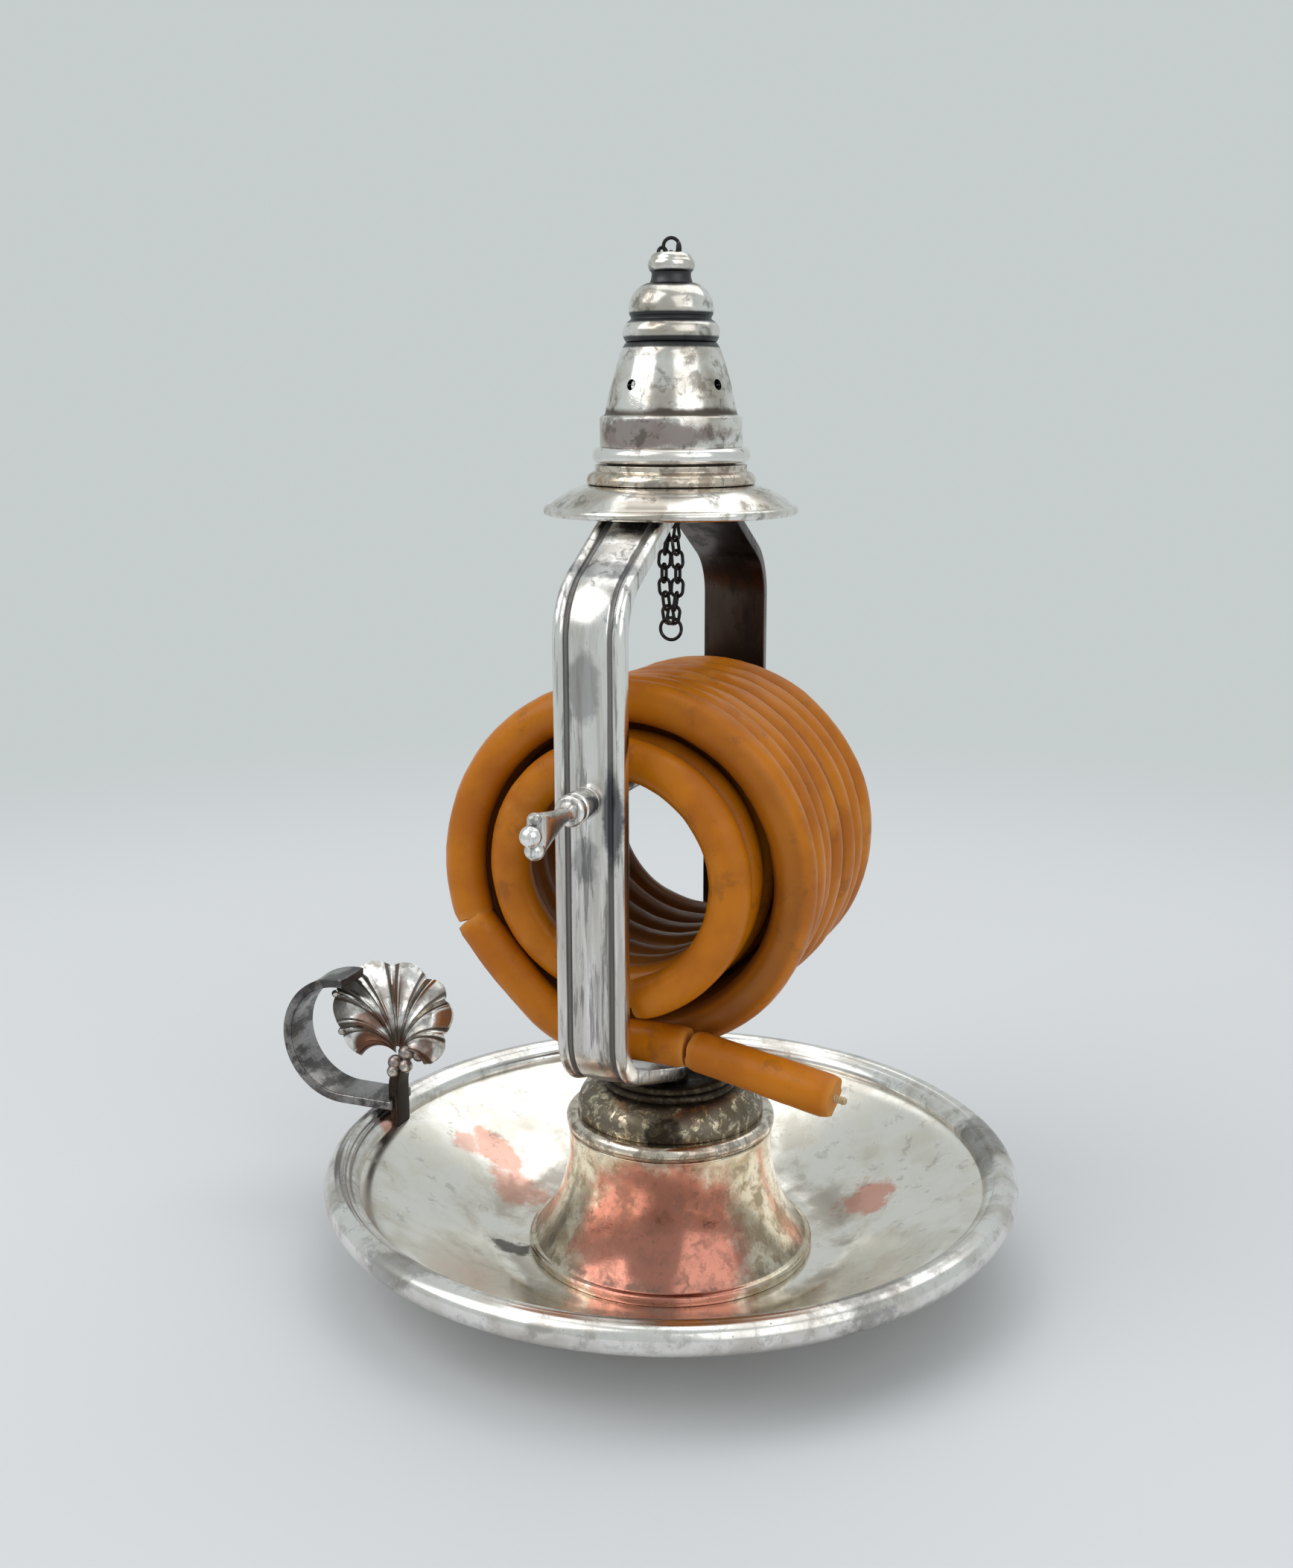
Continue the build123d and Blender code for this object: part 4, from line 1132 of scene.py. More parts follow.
@dataclass
class Cap:
    """The lift-off cap: base ring, band and vented cone, beads, dome and finial."""

    ring_r: float = 11.15
    spigot_r: float = 9.0
    spigot_h: float = 1.8
    sheet: float = 0.8
    band_r: float = 10.05
    cone_low_r: float = 9.3
    cone_top_r: float = 7.35
    cone_h: float = 8.0
    ledge: float = 0.4
    swell: float = 0.15
    neck_in_r: float = 6.3
    dome_r: float = 6.1
    dome_h: float = 4.6
    bead_h: float = 3.3
    finial_neck_r: float = 2.75
    finial_r: float = 3.25
    bore_r: float = 1.4
    vent_d: float = 1.5
    vent_up: float = 4.4
    vent_turn: float = -110.0
    band_h: float = 4.1

    def build(self, groups: Groups) -> None:
        """Builds the cap's pieces."""
        creases = (
            Patch((0, 0, node_high("cap_cone")), (60, 60, 0.85), 0.06, 0.95),
            Patch((0, 0, node_high("cap_cone") + self.bead_h), (60, 60, 0.8), 0.06, 0.95),
            Patch((0, 0, node_high("cap_dome") + 0.7), (60, 60, 1.2), 0.06, 0.95),
        )
        finish = replace(CAP_PLATE, stains=creases).material(groups)
        foot, band_z = node_low("cap_base_ring") + self.spigot_h, node_low("cap_cone")
        inner = self.spigot_r - self.sheet
        ring_foot, ring_head = (self.ring_r - 0.5, foot), (self.ring_r - 0.8, band_z)
        outline = arc(ring_foot, ring_head, -0.65, 10) + [ring_head, (inner, band_z), (inner, foot - self.spigot_h)]
        outline += [(self.spigot_r, foot - self.spigot_h), (self.spigot_r, foot)]
        ring = lathe("cap_ring", outline, round_by=0.12)
        place(ring, Body.CAP, Slot.BRIGHT, BRIGHT.material(groups), "cap_base_ring")
        bead_z = node_high("cap_cone")
        cone_z = band_z + self.band_h
        head_z = cone_z + self.cone_h
        ledge, head = (self.cone_low_r, cone_z + self.ledge), (self.cone_top_r, head_z)
        wall = self.sheet
        inner_ledge, inner_head = (self.cone_low_r - wall, cone_z), (self.cone_top_r - wall, head_z)
        outline = [(self.band_r, band_z), (self.band_r, cone_z)]
        outline += arc(ledge, head, -self.swell, 14) + arc(head, (self.neck_in_r, bead_z), -self.swell, 6)
        outline += [(self.neck_in_r, bead_z)]
        outline += arc((self.neck_in_r - wall, bead_z), inner_head, self.swell, 5)
        outline += arc(inner_head, inner_ledge, self.swell, 8)
        outline += [inner_ledge, (self.band_r - wall, cone_z - self.ledge), (self.band_r - wall, band_z)]
        cone = lathe("cap_shell", outline, segments=128, round_by=0.12)
        self.cut_vents(cone, cone_z + self.vent_up)
        place(cone, Body.CAP, Slot.WORN, finish, "cap_cone")
        top = node_high("cap_dome")
        dome_z = bead_z + self.bead_h
        bead_top, dome_start = (self.dome_r - 0.4, dome_z - 0.3), (self.dome_r - 0.3, dome_z + 0.3)
        dome_end = (self.finial_neck_r + 0.6, top)
        outline = arc((self.neck_in_r, bead_z), bead_top, -0.75, 12) + arc(bead_top, dome_start, 0.15, 4)
        outline += arc(dome_start, dome_end, -1.0, 14) + [dome_end, (self.bore_r, top)]
        outline += [(self.bore_r, top - wall), (self.dome_r - 2.6, dome_z + self.dome_h * 0.5)]
        outline += [(self.neck_in_r - wall, bead_z)]
        dome = lathe("cap_beads", outline, round_by=0.12)
        place(dome, Body.CAP, Slot.BRIGHT, finish, "cap_dome")
        crown = node_high("cap_finial")
        height = crown - top
        stem = (self.finial_neck_r, top + height * 0.35)
        belly = (self.finial_r - 0.35, top + height * 0.8)
        ball = (self.bore_r + 0.5, crown)
        outline = arc((self.finial_neck_r + 0.3, top), stem, 0.12, 6) + arc(stem, belly, -0.45, 10)
        outline += arc(belly, ball, -0.2, 8) + [ball, (self.bore_r, crown), (self.bore_r, top)]
        finial = lathe("cap_knob", outline, segments=96, round_by=0.1)
        place(finial, Body.CAP, Slot.BRIGHT, finish, "cap_finial")

    def cut_vents(self, cone: bpy.types.Object, height: float) -> None:
        """Cuts the four vents through the cone's wall at a height in mm."""
        drills = []
        for index in range(4):
            angle = math.radians(self.vent_turn + 90 * index)
            out = Vector((math.cos(angle), math.sin(angle), 0))
            side = Vector((-math.sin(angle), math.cos(angle), 0))
            points, faces, count = [], [], 20
            for reach in (self.cone_top_r - 3, self.band_r + 1):
                for step in range(count):
                    turn = 2 * math.pi * step / count
                    spoke = side * math.cos(turn) + Vector((0, 0, 1)) * math.sin(turn)
                    points.append(out * reach + spoke * self.vent_d / 2 + Vector((0, 0, height)))
            for step in range(count):
                nxt = (step + 1) % count
                faces.append((step, nxt, count + nxt, count + step))
            faces += [list(range(count))[::-1], list(range(count, 2 * count))]
            drill = mesh_object(f"vent_drill_{index}", points, faces)
            turn_outwards(drill)
            drills.append(drill)
        for drill in drills:
            cut = cone.modifiers.new("vent", "BOOLEAN")
            cut.operation, cut.solver, cut.object = "DIFFERENCE", "EXACT", drill
        bake(cone)
        for drill in drills:
            bpy.data.objects.remove(drill)
        cone.data.set_sharp_from_angle(angle=math.radians(40))


def bake(piece: bpy.types.Object) -> None:
    """Turns a piece and its modifiers into a plain mesh."""
    bpy.context.view_layer.update()
    depsgraph = bpy.context.evaluated_depsgraph_get()
    mesh = bpy.data.meshes.new_from_object(piece.evaluated_get(depsgraph), depsgraph=depsgraph)
    piece.modifiers.clear()
    piece.data = mesh


@dataclass
class Spindle:
    """The rod across the stirrup, its collar and the thumb key."""

    rod_d: float = 3.0
    collar_d: float = 4.2
    head_h: float = 6.4
    head_t: float = 3.2
    ball_d: float = 2.8

    def build(self, groups: Groups) -> None:
        """Builds the spindle's pieces."""
        bright = STRAP.material(groups)
        axis_z = (node_low("spindle_rod") + node_high("spindle_rod")) / 2
        rod_y0, rod_y1 = (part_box("spindle_rod")[k].y / MM for k in (0, 1))
        collar_y0, collar_y1 = (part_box("spindle_collar")[k].y / MM for k in (0, 1))
        radius = self.rod_d / 2
        rod = [(0, rod_y0), (radius, rod_y0), (radius, rod_y1 - 1.0)]
        rod += [(radius - 0.25, rod_y1 - 0.35), (radius - 0.8, rod_y1), (0, rod_y1)]
        place(self.turned("rod", rod, axis_z, 48), Body.SPINDLE, Slot.BRIGHT, bright, "spindle_rod")
        radius = self.collar_d / 2
        collar = [(0, collar_y0), (radius - 0.3, collar_y0), (radius, collar_y0 + 0.4)]
        collar += [(radius, collar_y0 + 1.4), (radius - 0.3, collar_y0 + 1.7), (radius, collar_y0 + 2.0)]
        collar += [(radius, collar_y1 - 1.2), (radius - 0.25, collar_y1 - 0.9), (radius, collar_y1 - 0.6)]
        collar += [(radius - 0.4, collar_y1), (0, collar_y1)]
        place(self.turned("rod_collar", collar, axis_z, 56), Body.SPINDLE, Slot.BRIGHT, bright, "spindle_collar")
        self.build_key(bright, axis_z, collar_y0)

    def turned(self, name: str, outline: Sequence[Point], axis_z: float, segments: int) -> bpy.types.Object:
        """Turns an outline of (radius, y) about the spindle's axis."""
        piece = lathe(name, outline, segments=segments, round_by=0.15)
        for vertex in piece.data.vertices:
            x, y, z = vertex.co
            vertex.co = (x, z, -y + axis_z * MM)
        return piece

    def build_key(self, finish: bpy.types.Material, axis_z: float, root_y: float) -> None:
        """Builds the thumb key: a neck that flattens into a waisted head with a ball at its end."""
        tip_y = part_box("thumb_key")[0].y / MM
        neck_l = 1.6
        head_l = root_y - neck_l - tip_y - self.ball_d * 0.7
        rings, count = [], 40
        stations = [
            (root_y, 1.3, 1.3, 0.0),
            (root_y - neck_l * 0.5, 1.05, 1.0, 0.0),
            (root_y - neck_l, 0.95, 0.95, -0.05),
            (root_y - neck_l - head_l * 0.2, 1.05, 1.2, -0.15),
            (root_y - neck_l - head_l * 0.45, 1.2, 1.75, -0.35),
            (root_y - neck_l - head_l * 0.68, 1.3, 2.35, -0.55),
            (root_y - neck_l - head_l * 0.85, 1.3, 2.75, -0.7),
            (root_y - neck_l - head_l * 0.96, 1.1, 2.6, -0.75),
            (root_y - neck_l - head_l, 0.7, 2.0, -0.75),
        ]
        points, faces = [], []
        for y, half_x, half_z, droop in stations:
            rings.append(len(points))
            for step in range(count):
                angle = 2 * math.pi * step / count
                c, s = math.cos(angle), math.sin(angle)
                x = half_x * math.copysign(abs(c) ** 0.8, c)
                z = half_z * math.copysign(abs(s) ** 0.8, s)
                points.append((x, y, axis_z + droop + z))
        for low, high in zip(rings, rings[1:]):
            for step in range(count):
                nxt = (step + 1) % count
                faces.append((low + step, low + nxt, high + nxt, high + step))
        faces += [list(range(count))[::-1], [rings[-1] + i for i in range(count)]]
        head = mesh_object("key_head", points, faces)
        turn_outwards(head)
        lobes = []
        for radius, inset, rise in ((self.ball_d / 2, 0.0, -0.5), (1.3, 1.2, -2.5), (0.95, 1.6, 1.3)):
            middle = tip_y + inset + radius
            ball = [
                (radius * math.sin(a), middle - radius * math.cos(a))
                for a in np.linspace(0, math.pi, 18)
            ]
            ball[0], ball[-1] = (0, ball[0][1]), (0, ball[-1][1])
            lobes.append(self.turned(f"key_ball_{len(lobes)}", ball, axis_z + rise, 32))
        key = join("key", [head, *lobes])
        place(key, Body.SPINDLE, Slot.BRIGHT, finish, "thumb_key")


@dataclass
class TaperCoil:
    """The wound wax taper with its cracks, its straight tail and its wick."""

    diameter: float = 5.85
    pitch: float = 5.75
    inner_r: float = 17.2
    outer_r: float = 23.2
    inner_turns: float = 7.5
    back_y: float = 19.3
    start_angle: float = -77.0
    crack_angle: float = 200.5
    front_r: float = 24.1
    front_inner_r: float = 16.7
    wick_d: float = 1.0

    def build(self, groups: Groups) -> None:
        """Builds the taper and its wick."""
        self.hang_z = (node_low("spindle_rod") + node_high("spindle_rod")) / 2
        bore_top = node_high("spindle_rod") + 0.3
        self.centre_z = bore_top - (self.inner_r - 2.6)
        finish = Wax().material(groups)
        tree = tube_tree(finish)
        winding = self.tube("winding", self.winding(), tree, seed=3)
        kneel = self.tube("broken_run", self.broken_run(), tree, seed=8)
        tail_path = self.tail()
        tail = self.tube("tail", tail_path, tree, seed=5)
        wax = join("taper_coil", [winding, kneel, tail])
        wax.data.shade_smooth()
        wax.data.set_sharp_from_angle(angle=math.radians(55))
        place(wax, Body.TAPER, Slot.WAX, finish, "wax_taper")
        self.build_wick(groups, tail_path)

    def turn_point(self, angle: float, radius: float, y: float) -> Vector:
        """A point on the winding, which sags a little under its own weight."""
        turn = math.radians(angle)
        wander = 0.2 * math.sin(turn * 0.5 + y * 0.21)
        x = (radius + wander) * math.cos(turn)
        z = (radius + wander * 0.5) * math.sin(turn)
        z -= 0.7 * min(max((y + 6.0) / 14.0, 0.0), 1.0) * min(max((radius - 18.0) / 4.0, 0.0), 1.0)
        return Vector((x, y + 0.16 * math.sin(turn * 1.7 + y), self.centre_z + z))

    def loosened(self, radius: float, front: float, y: float) -> float:
        """Radius of a turn at y, which goes over to `front` on the two turns at the coil's front."""
        share = min(max((-y - 6.0) / 12.0, 0.0), 1.0)
        return radius + (front - radius) * share * share * (3 - 2 * share)

    def winding(self) -> list[Vector]:
        """The inner layer wound to the back and the outer layer wound to the front crack."""
        path = []
        steps_per_turn = 60
        inner_sweep = 360 * self.inner_turns
        for step in range(int(self.inner_turns * steps_per_turn) + 1):
            swept = 360 * step / steps_per_turn
            y = self.back_y - self.pitch * (self.inner_turns - swept / 360)
            radius = self.loosened(self.inner_r, self.front_inner_r, y)
            path.append(self.turn_point(self.start_angle + swept, radius, y))
        climb = steps_per_turn // 2
        for step in range(1, climb):
            share = step / climb
            smooth = share * share * (3 - 2 * share)
            radius = self.inner_r + (self.outer_r - self.inner_r) * smooth
            path.append(self.turn_point(self.start_angle + inner_sweep + 180 * share, radius, self.back_y))
        begin = self.start_angle + inner_sweep + 180
        end = self.crack_angle + 360 * math.floor((begin + 360 * 6.95 - self.crack_angle) / 360)
        count = int((end - begin) / 360 * steps_per_turn)
        for step in range(count + 1):
            swept = (end - begin) * step / count
            y = self.back_y - self.pitch * swept / 360
            path.append(self.turn_point(begin + swept, self.loosened(self.outer_r, self.front_r, y), y))
        self.crack_y = path[-1].y
        return path

    def broken_run(self) -> list[Vector]:
        """The stretch between the two cracks: it hangs nearly straight, then bends along the bottom."""
        bends = ((-22.6, -8.6), (-16.2, -16.1), (-9.8, -22.0), (-4.0, -23.7), (3.0, -23.7), (10.2, -23.8))
        points = [Vector((x, self.crack_y - 0.5, self.centre_z + z)) for x, z in bends]
        return smooth_path(points, 12)

    def tail(self) -> list[Vector]:
        """The straight cut tail."""
        box_low, box_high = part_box("taper_wick")
        tip = Vector(((box_low.x + box_high.x) / 2, (box_low.y + box_high.y) / 2, (box_low.z + box_high.z) / 2)) / MM
        start = Vector((10.9, self.crack_y - 0.5, self.centre_z - 24.0))
        end = Vector((tip.x - 0.6, tip.y, tip.z + 0.3))
        return [start.lerp(end, step / 14) for step in range(15)]

    def tube(self, name: str, path: Sequence[Vector], tree: bpy.types.NodeTree, seed: int) -> bpy.types.Object:
        """Makes a tube of wax along a path with the Geometry Nodes tree.

        Args:
            name: name of the piece.
            path: points of its middle, in mm.
            tree: the tube tree.
            seed: seed of its unevenness.

        Returns:
            The tube as a plain mesh.
        """
        curve = bpy.data.curves.new(name, "CURVE")
        curve.dimensions = "3D"
        spline = curve.splines.new("POLY")
        spline.points.add(len(path) - 1)
        for point, here in zip(spline.points, path):
            point.co = (*(here * MM), 1.0)
        source = bpy.data.objects.new(name + "_path", curve)
        bpy.context.scene.collection.objects.link(source)
        values = {"Radius": self.diameter / 2 * MM, "Unevenness": 0.00016, "Broken End": 0.0009, "Seed": seed}
        piece = run_tree(name, source, tree, values)
        bpy.data.objects.remove(source)
        return piece

    def build_wick(self, groups: Groups, tail_path: Sequence[Vector]) -> None:
        """Builds the bit of wick at the cut end."""
        ahead = (tail_path[-1] - tail_path[-2]).normalized()
        side = ahead.orthogonal().normalized()
        up = ahead.cross(side)
        points, faces, count = [], [], 16
        reach = ((-1.5, 1.0), (0.0, 1.0), (0.7, 0.92), (1.3, 1.05), (1.7, 0.7))
        for index, (along, swell) in enumerate(reach):
            for step in range(count):
                turn = 2 * math.pi * step / count + along * 0.6
                fray = 1 + 0.13 * math.cos(4 * turn)
                spoke = (side * math.cos(turn) + up * math.sin(turn)) * self.wick_d / 2 * swell * fray
                points.append(tail_path[-1] + ahead * along + spoke)
            if index:
                base = (index - 1) * count
                for step in range(count):
                    nxt = (step + 1) % count
                    faces.append((base + step, base + nxt, base + count + nxt, base + count + step))
        faces += [list(range(count))[::-1], [len(points) - count + i for i in range(count)]]
        wick = mesh_object("wick", points, faces)
        turn_outwards(wick)
        place(wick, Body.TAPER, Slot.WICK, Wick().material(groups), "taper_wick")


def smooth_path(points: Sequence[Vector], steps: int) -> list[Vector]:
    """Catmull-Rom points through a few given ones.

    Args:
        points: points to pass through.
        steps: divisions between each two.

    Returns:
        The smooth path's points.
    """
    ends = [points[0] * 2 - points[1], *points, points[-1] * 2 - points[-2]]
    path = []
    for a, b, c, d in zip(ends, ends[1:], ends[2:], ends[3:]):
        for step in range(steps):
            t = step / steps
            path.append(
                0.5 * (b * 2 + (c - a) * t + (a * 2 - b * 5 + c * 4 - d) * t**2 + (b * 3 - a - c * 3 + d) * t**3)
            )
    return path + [points[-1]]


# Geometry Nodes


class Geometry:
    """A small writer of Geometry Nodes trees with named inputs."""

    def __init__(self, name: str, inputs: dict[str, object]) -> None:
        """Starts a tree.

        Args:
            name: name of the tree.
            inputs: socket name to default value; a whole number makes an integer socket.
        """
        self.tree = bpy.data.node_groups.new(name, "GeometryNodeTree")
        self.tree.interface.new_socket(name="Geometry", in_out="INPUT", socket_type="NodeSocketGeometry")
        for socket, default in inputs.items():
            kind = "NodeSocketInt" if isinstance(default, int) else "NodeSocketFloat"
            self.tree.interface.new_socket(name=socket, in_out="INPUT", socket_type=kind).default_value = default
        self.tree.interface.new_socket(name="Geometry", in_out="OUTPUT", socket_type="NodeSocketGeometry")
        self.source = self.tree.nodes.new("NodeGroupInput")
        self.sink = self.tree.nodes.new("NodeGroupOutput")

    def add(self, kind: str, links: dict | None = None, **settings: object) -> bpy.types.Node:
        """Adds a node by its full type and fills its inputs from sockets or values."""
        node = self.tree.nodes.new(kind)
        for key, value in settings.items():
            setattr(node, key, value)
        for key, value in (links or {}).items():
            if isinstance(value, bpy.types.NodeSocket):
                self.tree.links.new(value, node.inputs[key])
            else:
                node.inputs[key].default_value = value
        return node

    def math(self, operation: str, a: object, b: object = 0.0) -> bpy.types.NodeSocket:
        """Returns the result of a Math node."""
        return self.add("ShaderNodeMath", {0: a, 1: b}, operation=operation).outputs[0]

    def finish(self, geometry: bpy.types.NodeSocket, material: bpy.types.Material) -> bpy.types.NodeTree:
        """Realizes the instances, sets the material and closes the tree."""
        real = self.add("GeometryNodeRealizeInstances", {0: geometry})
        smooth = self.add("GeometryNodeSetShadeSmooth", {0: real.outputs[0]})
        dressed = self.add("GeometryNodeSetMaterial", {0: smooth.outputs[0]})
        dressed.inputs["Material"].default_value = material
        self.tree.links.new(dressed.outputs[0], self.sink.inputs[0])
        return self.tree


def run_tree(
    name: str, source: bpy.types.Object, tree: bpy.types.NodeTree, values: dict[str, object]
) -> bpy.types.Object:
    """Runs a Geometry Nodes tree on an object and returns the result as a plain mesh.

    Args:
        name: name of the new piece.
        source: object whose geometry goes in.
        tree: the tree to run.
        values: named inputs to set.

    Returns:
        A new mesh object with no modifier.
    """
    modifier = source.modifiers.new(tree.name, "NODES")
    modifier.node_group = tree
    sockets = {item.name: item.identifier for item in tree.interface.items_tree if item.in_out == "INPUT"}
    for key, value in values.items():
        modifier[sockets[key]] = value
    bpy.context.view_layer.update()
    depsgraph = bpy.context.evaluated_depsgraph_get()
    mesh = bpy.data.meshes.new_from_object(source.evaluated_get(depsgraph), depsgraph=depsgraph)
    mesh.name = name
    source.modifiers.clear()
    piece = bpy.data.objects.new(name, mesh)
    bpy.context.scene.collection.objects.link(piece)
    return piece


def tube_tree(material: bpy.types.Material) -> bpy.types.NodeTree:
    """Builds the tree for an uneven tube of wax with rough broken ends.

    Args:
        material: material of the tube.

    Returns:
        The tree.
    """
    inputs = {"Radius": 0.0029, "Unevenness": 0.0002, "Broken End": 0.0009, "Seed": 1}
    geo = Geometry("Wax Tube", inputs)
    even = geo.add("GeometryNodeResampleCurve", {"Curve": geo.source.outputs["Geometry"]}, mode="LENGTH")
    even.inputs["Length"].default_value = 0.0011
    along = geo.add("GeometryNodeSplineParameter").outputs["Length"]
    place_at = geo.add("GeometryNodeInputPosition").outputs[0]
    swell = geo.add("ShaderNodeTexNoise", {"Scale": 110.0, "Detail": 2.0}, noise_dimensions="4D")
    geo.tree.links.new(place_at, swell.inputs["Vector"])
    geo.tree.links.new(geo.source.outputs["Seed"], swell.inputs["W"])
    uneven = geo.math("MULTIPLY", geo.math("SUBTRACT", swell.outputs["Fac"], 0.5), 3.0)
    radius = geo.math("ADD", geo.source.outputs["Radius"], geo.math("MULTIPLY", uneven, geo.source.outputs["Unevenness"]))
    total = geo.add("GeometryNodeSplineLength").outputs["Length"]
    near = geo.math("MINIMUM", along, geo.math("SUBTRACT", total, along))
    pinch = geo.add("ShaderNodeMapRange", {"Value": near, "From Min": 0.0, "From Max": 0.0009, "To Min": 0.9, "To Max": 1.0})
    radius = geo.math("MULTIPLY", radius, pinch.outputs[0])
    marked = geo.add("GeometryNodeStoreNamedAttribute", {"Geometry": even.outputs[0]}, data_type="FLOAT", domain="POINT")
    marked.inputs["Name"].default_value = "broken"
    ends = geo.add("ShaderNodeMapRange", {"Value": near, "From Min": 0.0, "From Max": 0.0007, "To Min": 1.0, "To Max": 0.0})
    geo.tree.links.new(ends.outputs[0], marked.inputs["Value"])
    sized = geo.add("GeometryNodeSetCurveRadius", {"Curve": marked.outputs[0]})
    geo.tree.links.new(radius, sized.inputs["Radius"])
    ring = geo.add("GeometryNodeCurvePrimitiveCircle", {"Resolution": 28})
    ring.inputs["Radius"].default_value = 1.0
    swept = geo.add("GeometryNodeCurveToMesh", {"Curve": sized.outputs[0], "Profile Curve": ring.outputs[0]})
    swept.inputs["Fill Caps"].default_value = True
    if "Scale" in swept.inputs:
        scaled = geo.add("GeometryNodeInputRadius").outputs[0]
        geo.tree.links.new(scaled, swept.inputs["Scale"])
    normal = geo.add("GeometryNodeInputNormal").outputs[0]
    dent = geo.add("ShaderNodeTexNoise", {"Scale": 210.0, "Detail": 4.0, "Roughness": 0.6}, noise_dimensions="4D")
    geo.tree.links.new(geo.source.outputs["Seed"], dent.inputs["W"])
    lift = geo.math("MULTIPLY", geo.math("SUBTRACT", dent.outputs["Fac"], 0.5), geo.source.outputs["Unevenness"])
    rough = geo.add("ShaderNodeTexNoise", {"Scale": 900.0, "Detail": 3.0}, noise_dimensions="4D")
    geo.tree.links.new(geo.source.outputs["Seed"], rough.inputs["W"])
    torn = geo.add("GeometryNodeInputNamedAttribute", data_type="FLOAT")
    torn.inputs["Name"].default_value = "broken"
    jag = geo.math("MULTIPLY", geo.math("SUBTRACT", rough.outputs["Fac"], 0.5), geo.source.outputs["Broken End"])
    lift = geo.math("ADD", lift, geo.math("MULTIPLY", jag, torn.outputs["Attribute"]))
    offset = geo.add("ShaderNodeVectorMath", {0: normal}, operation="SCALE")
    geo.tree.links.new(lift, offset.inputs["Scale"])
    moved = geo.add("GeometryNodeSetPosition", {"Geometry": swept.outputs[0], "Offset": offset.outputs[0]})
    return geo.finish(moved.outputs[0], material)


def chain_tree(material: bpy.types.Material) -> bpy.types.NodeTree:
    """Builds the tree that strings oval links along a curve, each a quarter turn on from the last.

    Args:
        material: material of the links.

    Returns:
        The tree.
    """
    inputs = {"Links": 7, "Link Length": 0.0031, "Link Width": 0.0022, "Wire": 0.0005}
    geo = Geometry("Chain Links", inputs)
    dots = geo.add(
        "GeometryNodeCurveToPoints",
        {"Curve": geo.source.outputs["Geometry"], "Count": geo.source.outputs["Links"]},
        mode="COUNT",
    )
    oval = geo.add("GeometryNodeCurvePrimitiveQuadrilateral", mode="RECTANGLE")
    length = geo.math("SUBTRACT", geo.source.outputs["Link Length"], geo.source.outputs["Wire"])
    width = geo.math("SUBTRACT", geo.source.outputs["Link Width"], geo.source.outputs["Wire"])
    geo.tree.links.new(width, oval.inputs["Width"])
    geo.tree.links.new(length, oval.inputs["Height"])
    rounded = geo.add("GeometryNodeFilletCurve", {"Curve": oval.outputs[0], "Count": 7}, mode="POLY")
    geo.tree.links.new(geo.math("MULTIPLY", width, 0.499), rounded.inputs["Radius"])
    ring = geo.add("GeometryNodeCurvePrimitiveCircle", {"Resolution": 9})
    geo.tree.links.new(geo.math("MULTIPLY", geo.source.outputs["Wire"], 0.5), ring.inputs["Radius"])
    link = geo.add("GeometryNodeCurveToMesh", {"Curve": rounded.outputs[0], "Profile Curve": ring.outputs[0]})
    index = geo.add("GeometryNodeInputIndex").outputs[0]
    quarter = geo.math("MULTIPLY", geo.math("MODULO", index, 2.0), math.pi / 2)
    aligned = geo.add("FunctionNodeAlignRotationToVector", {"Vector": dots.outputs["Tangent"]}, axis="Y")
    turned = geo.add("FunctionNodeRotateRotation", {"Rotation": aligned.outputs[0]}, rotation_space="LOCAL")
    spin = geo.add("FunctionNodeAxisAngleToRotation", {"Axis": (0.0, 1.0, 0.0), "Angle": quarter})
    geo.tree.links.new(spin.outputs[0], turned.inputs[1])
    strung = geo.add("GeometryNodeInstanceOnPoints", {"Points": dots.outputs["Points"], "Instance": link.outputs[0]})
    geo.tree.links.new(turned.outputs[0], strung.inputs["Rotation"])
    return geo.finish(strung.outputs[0], material)


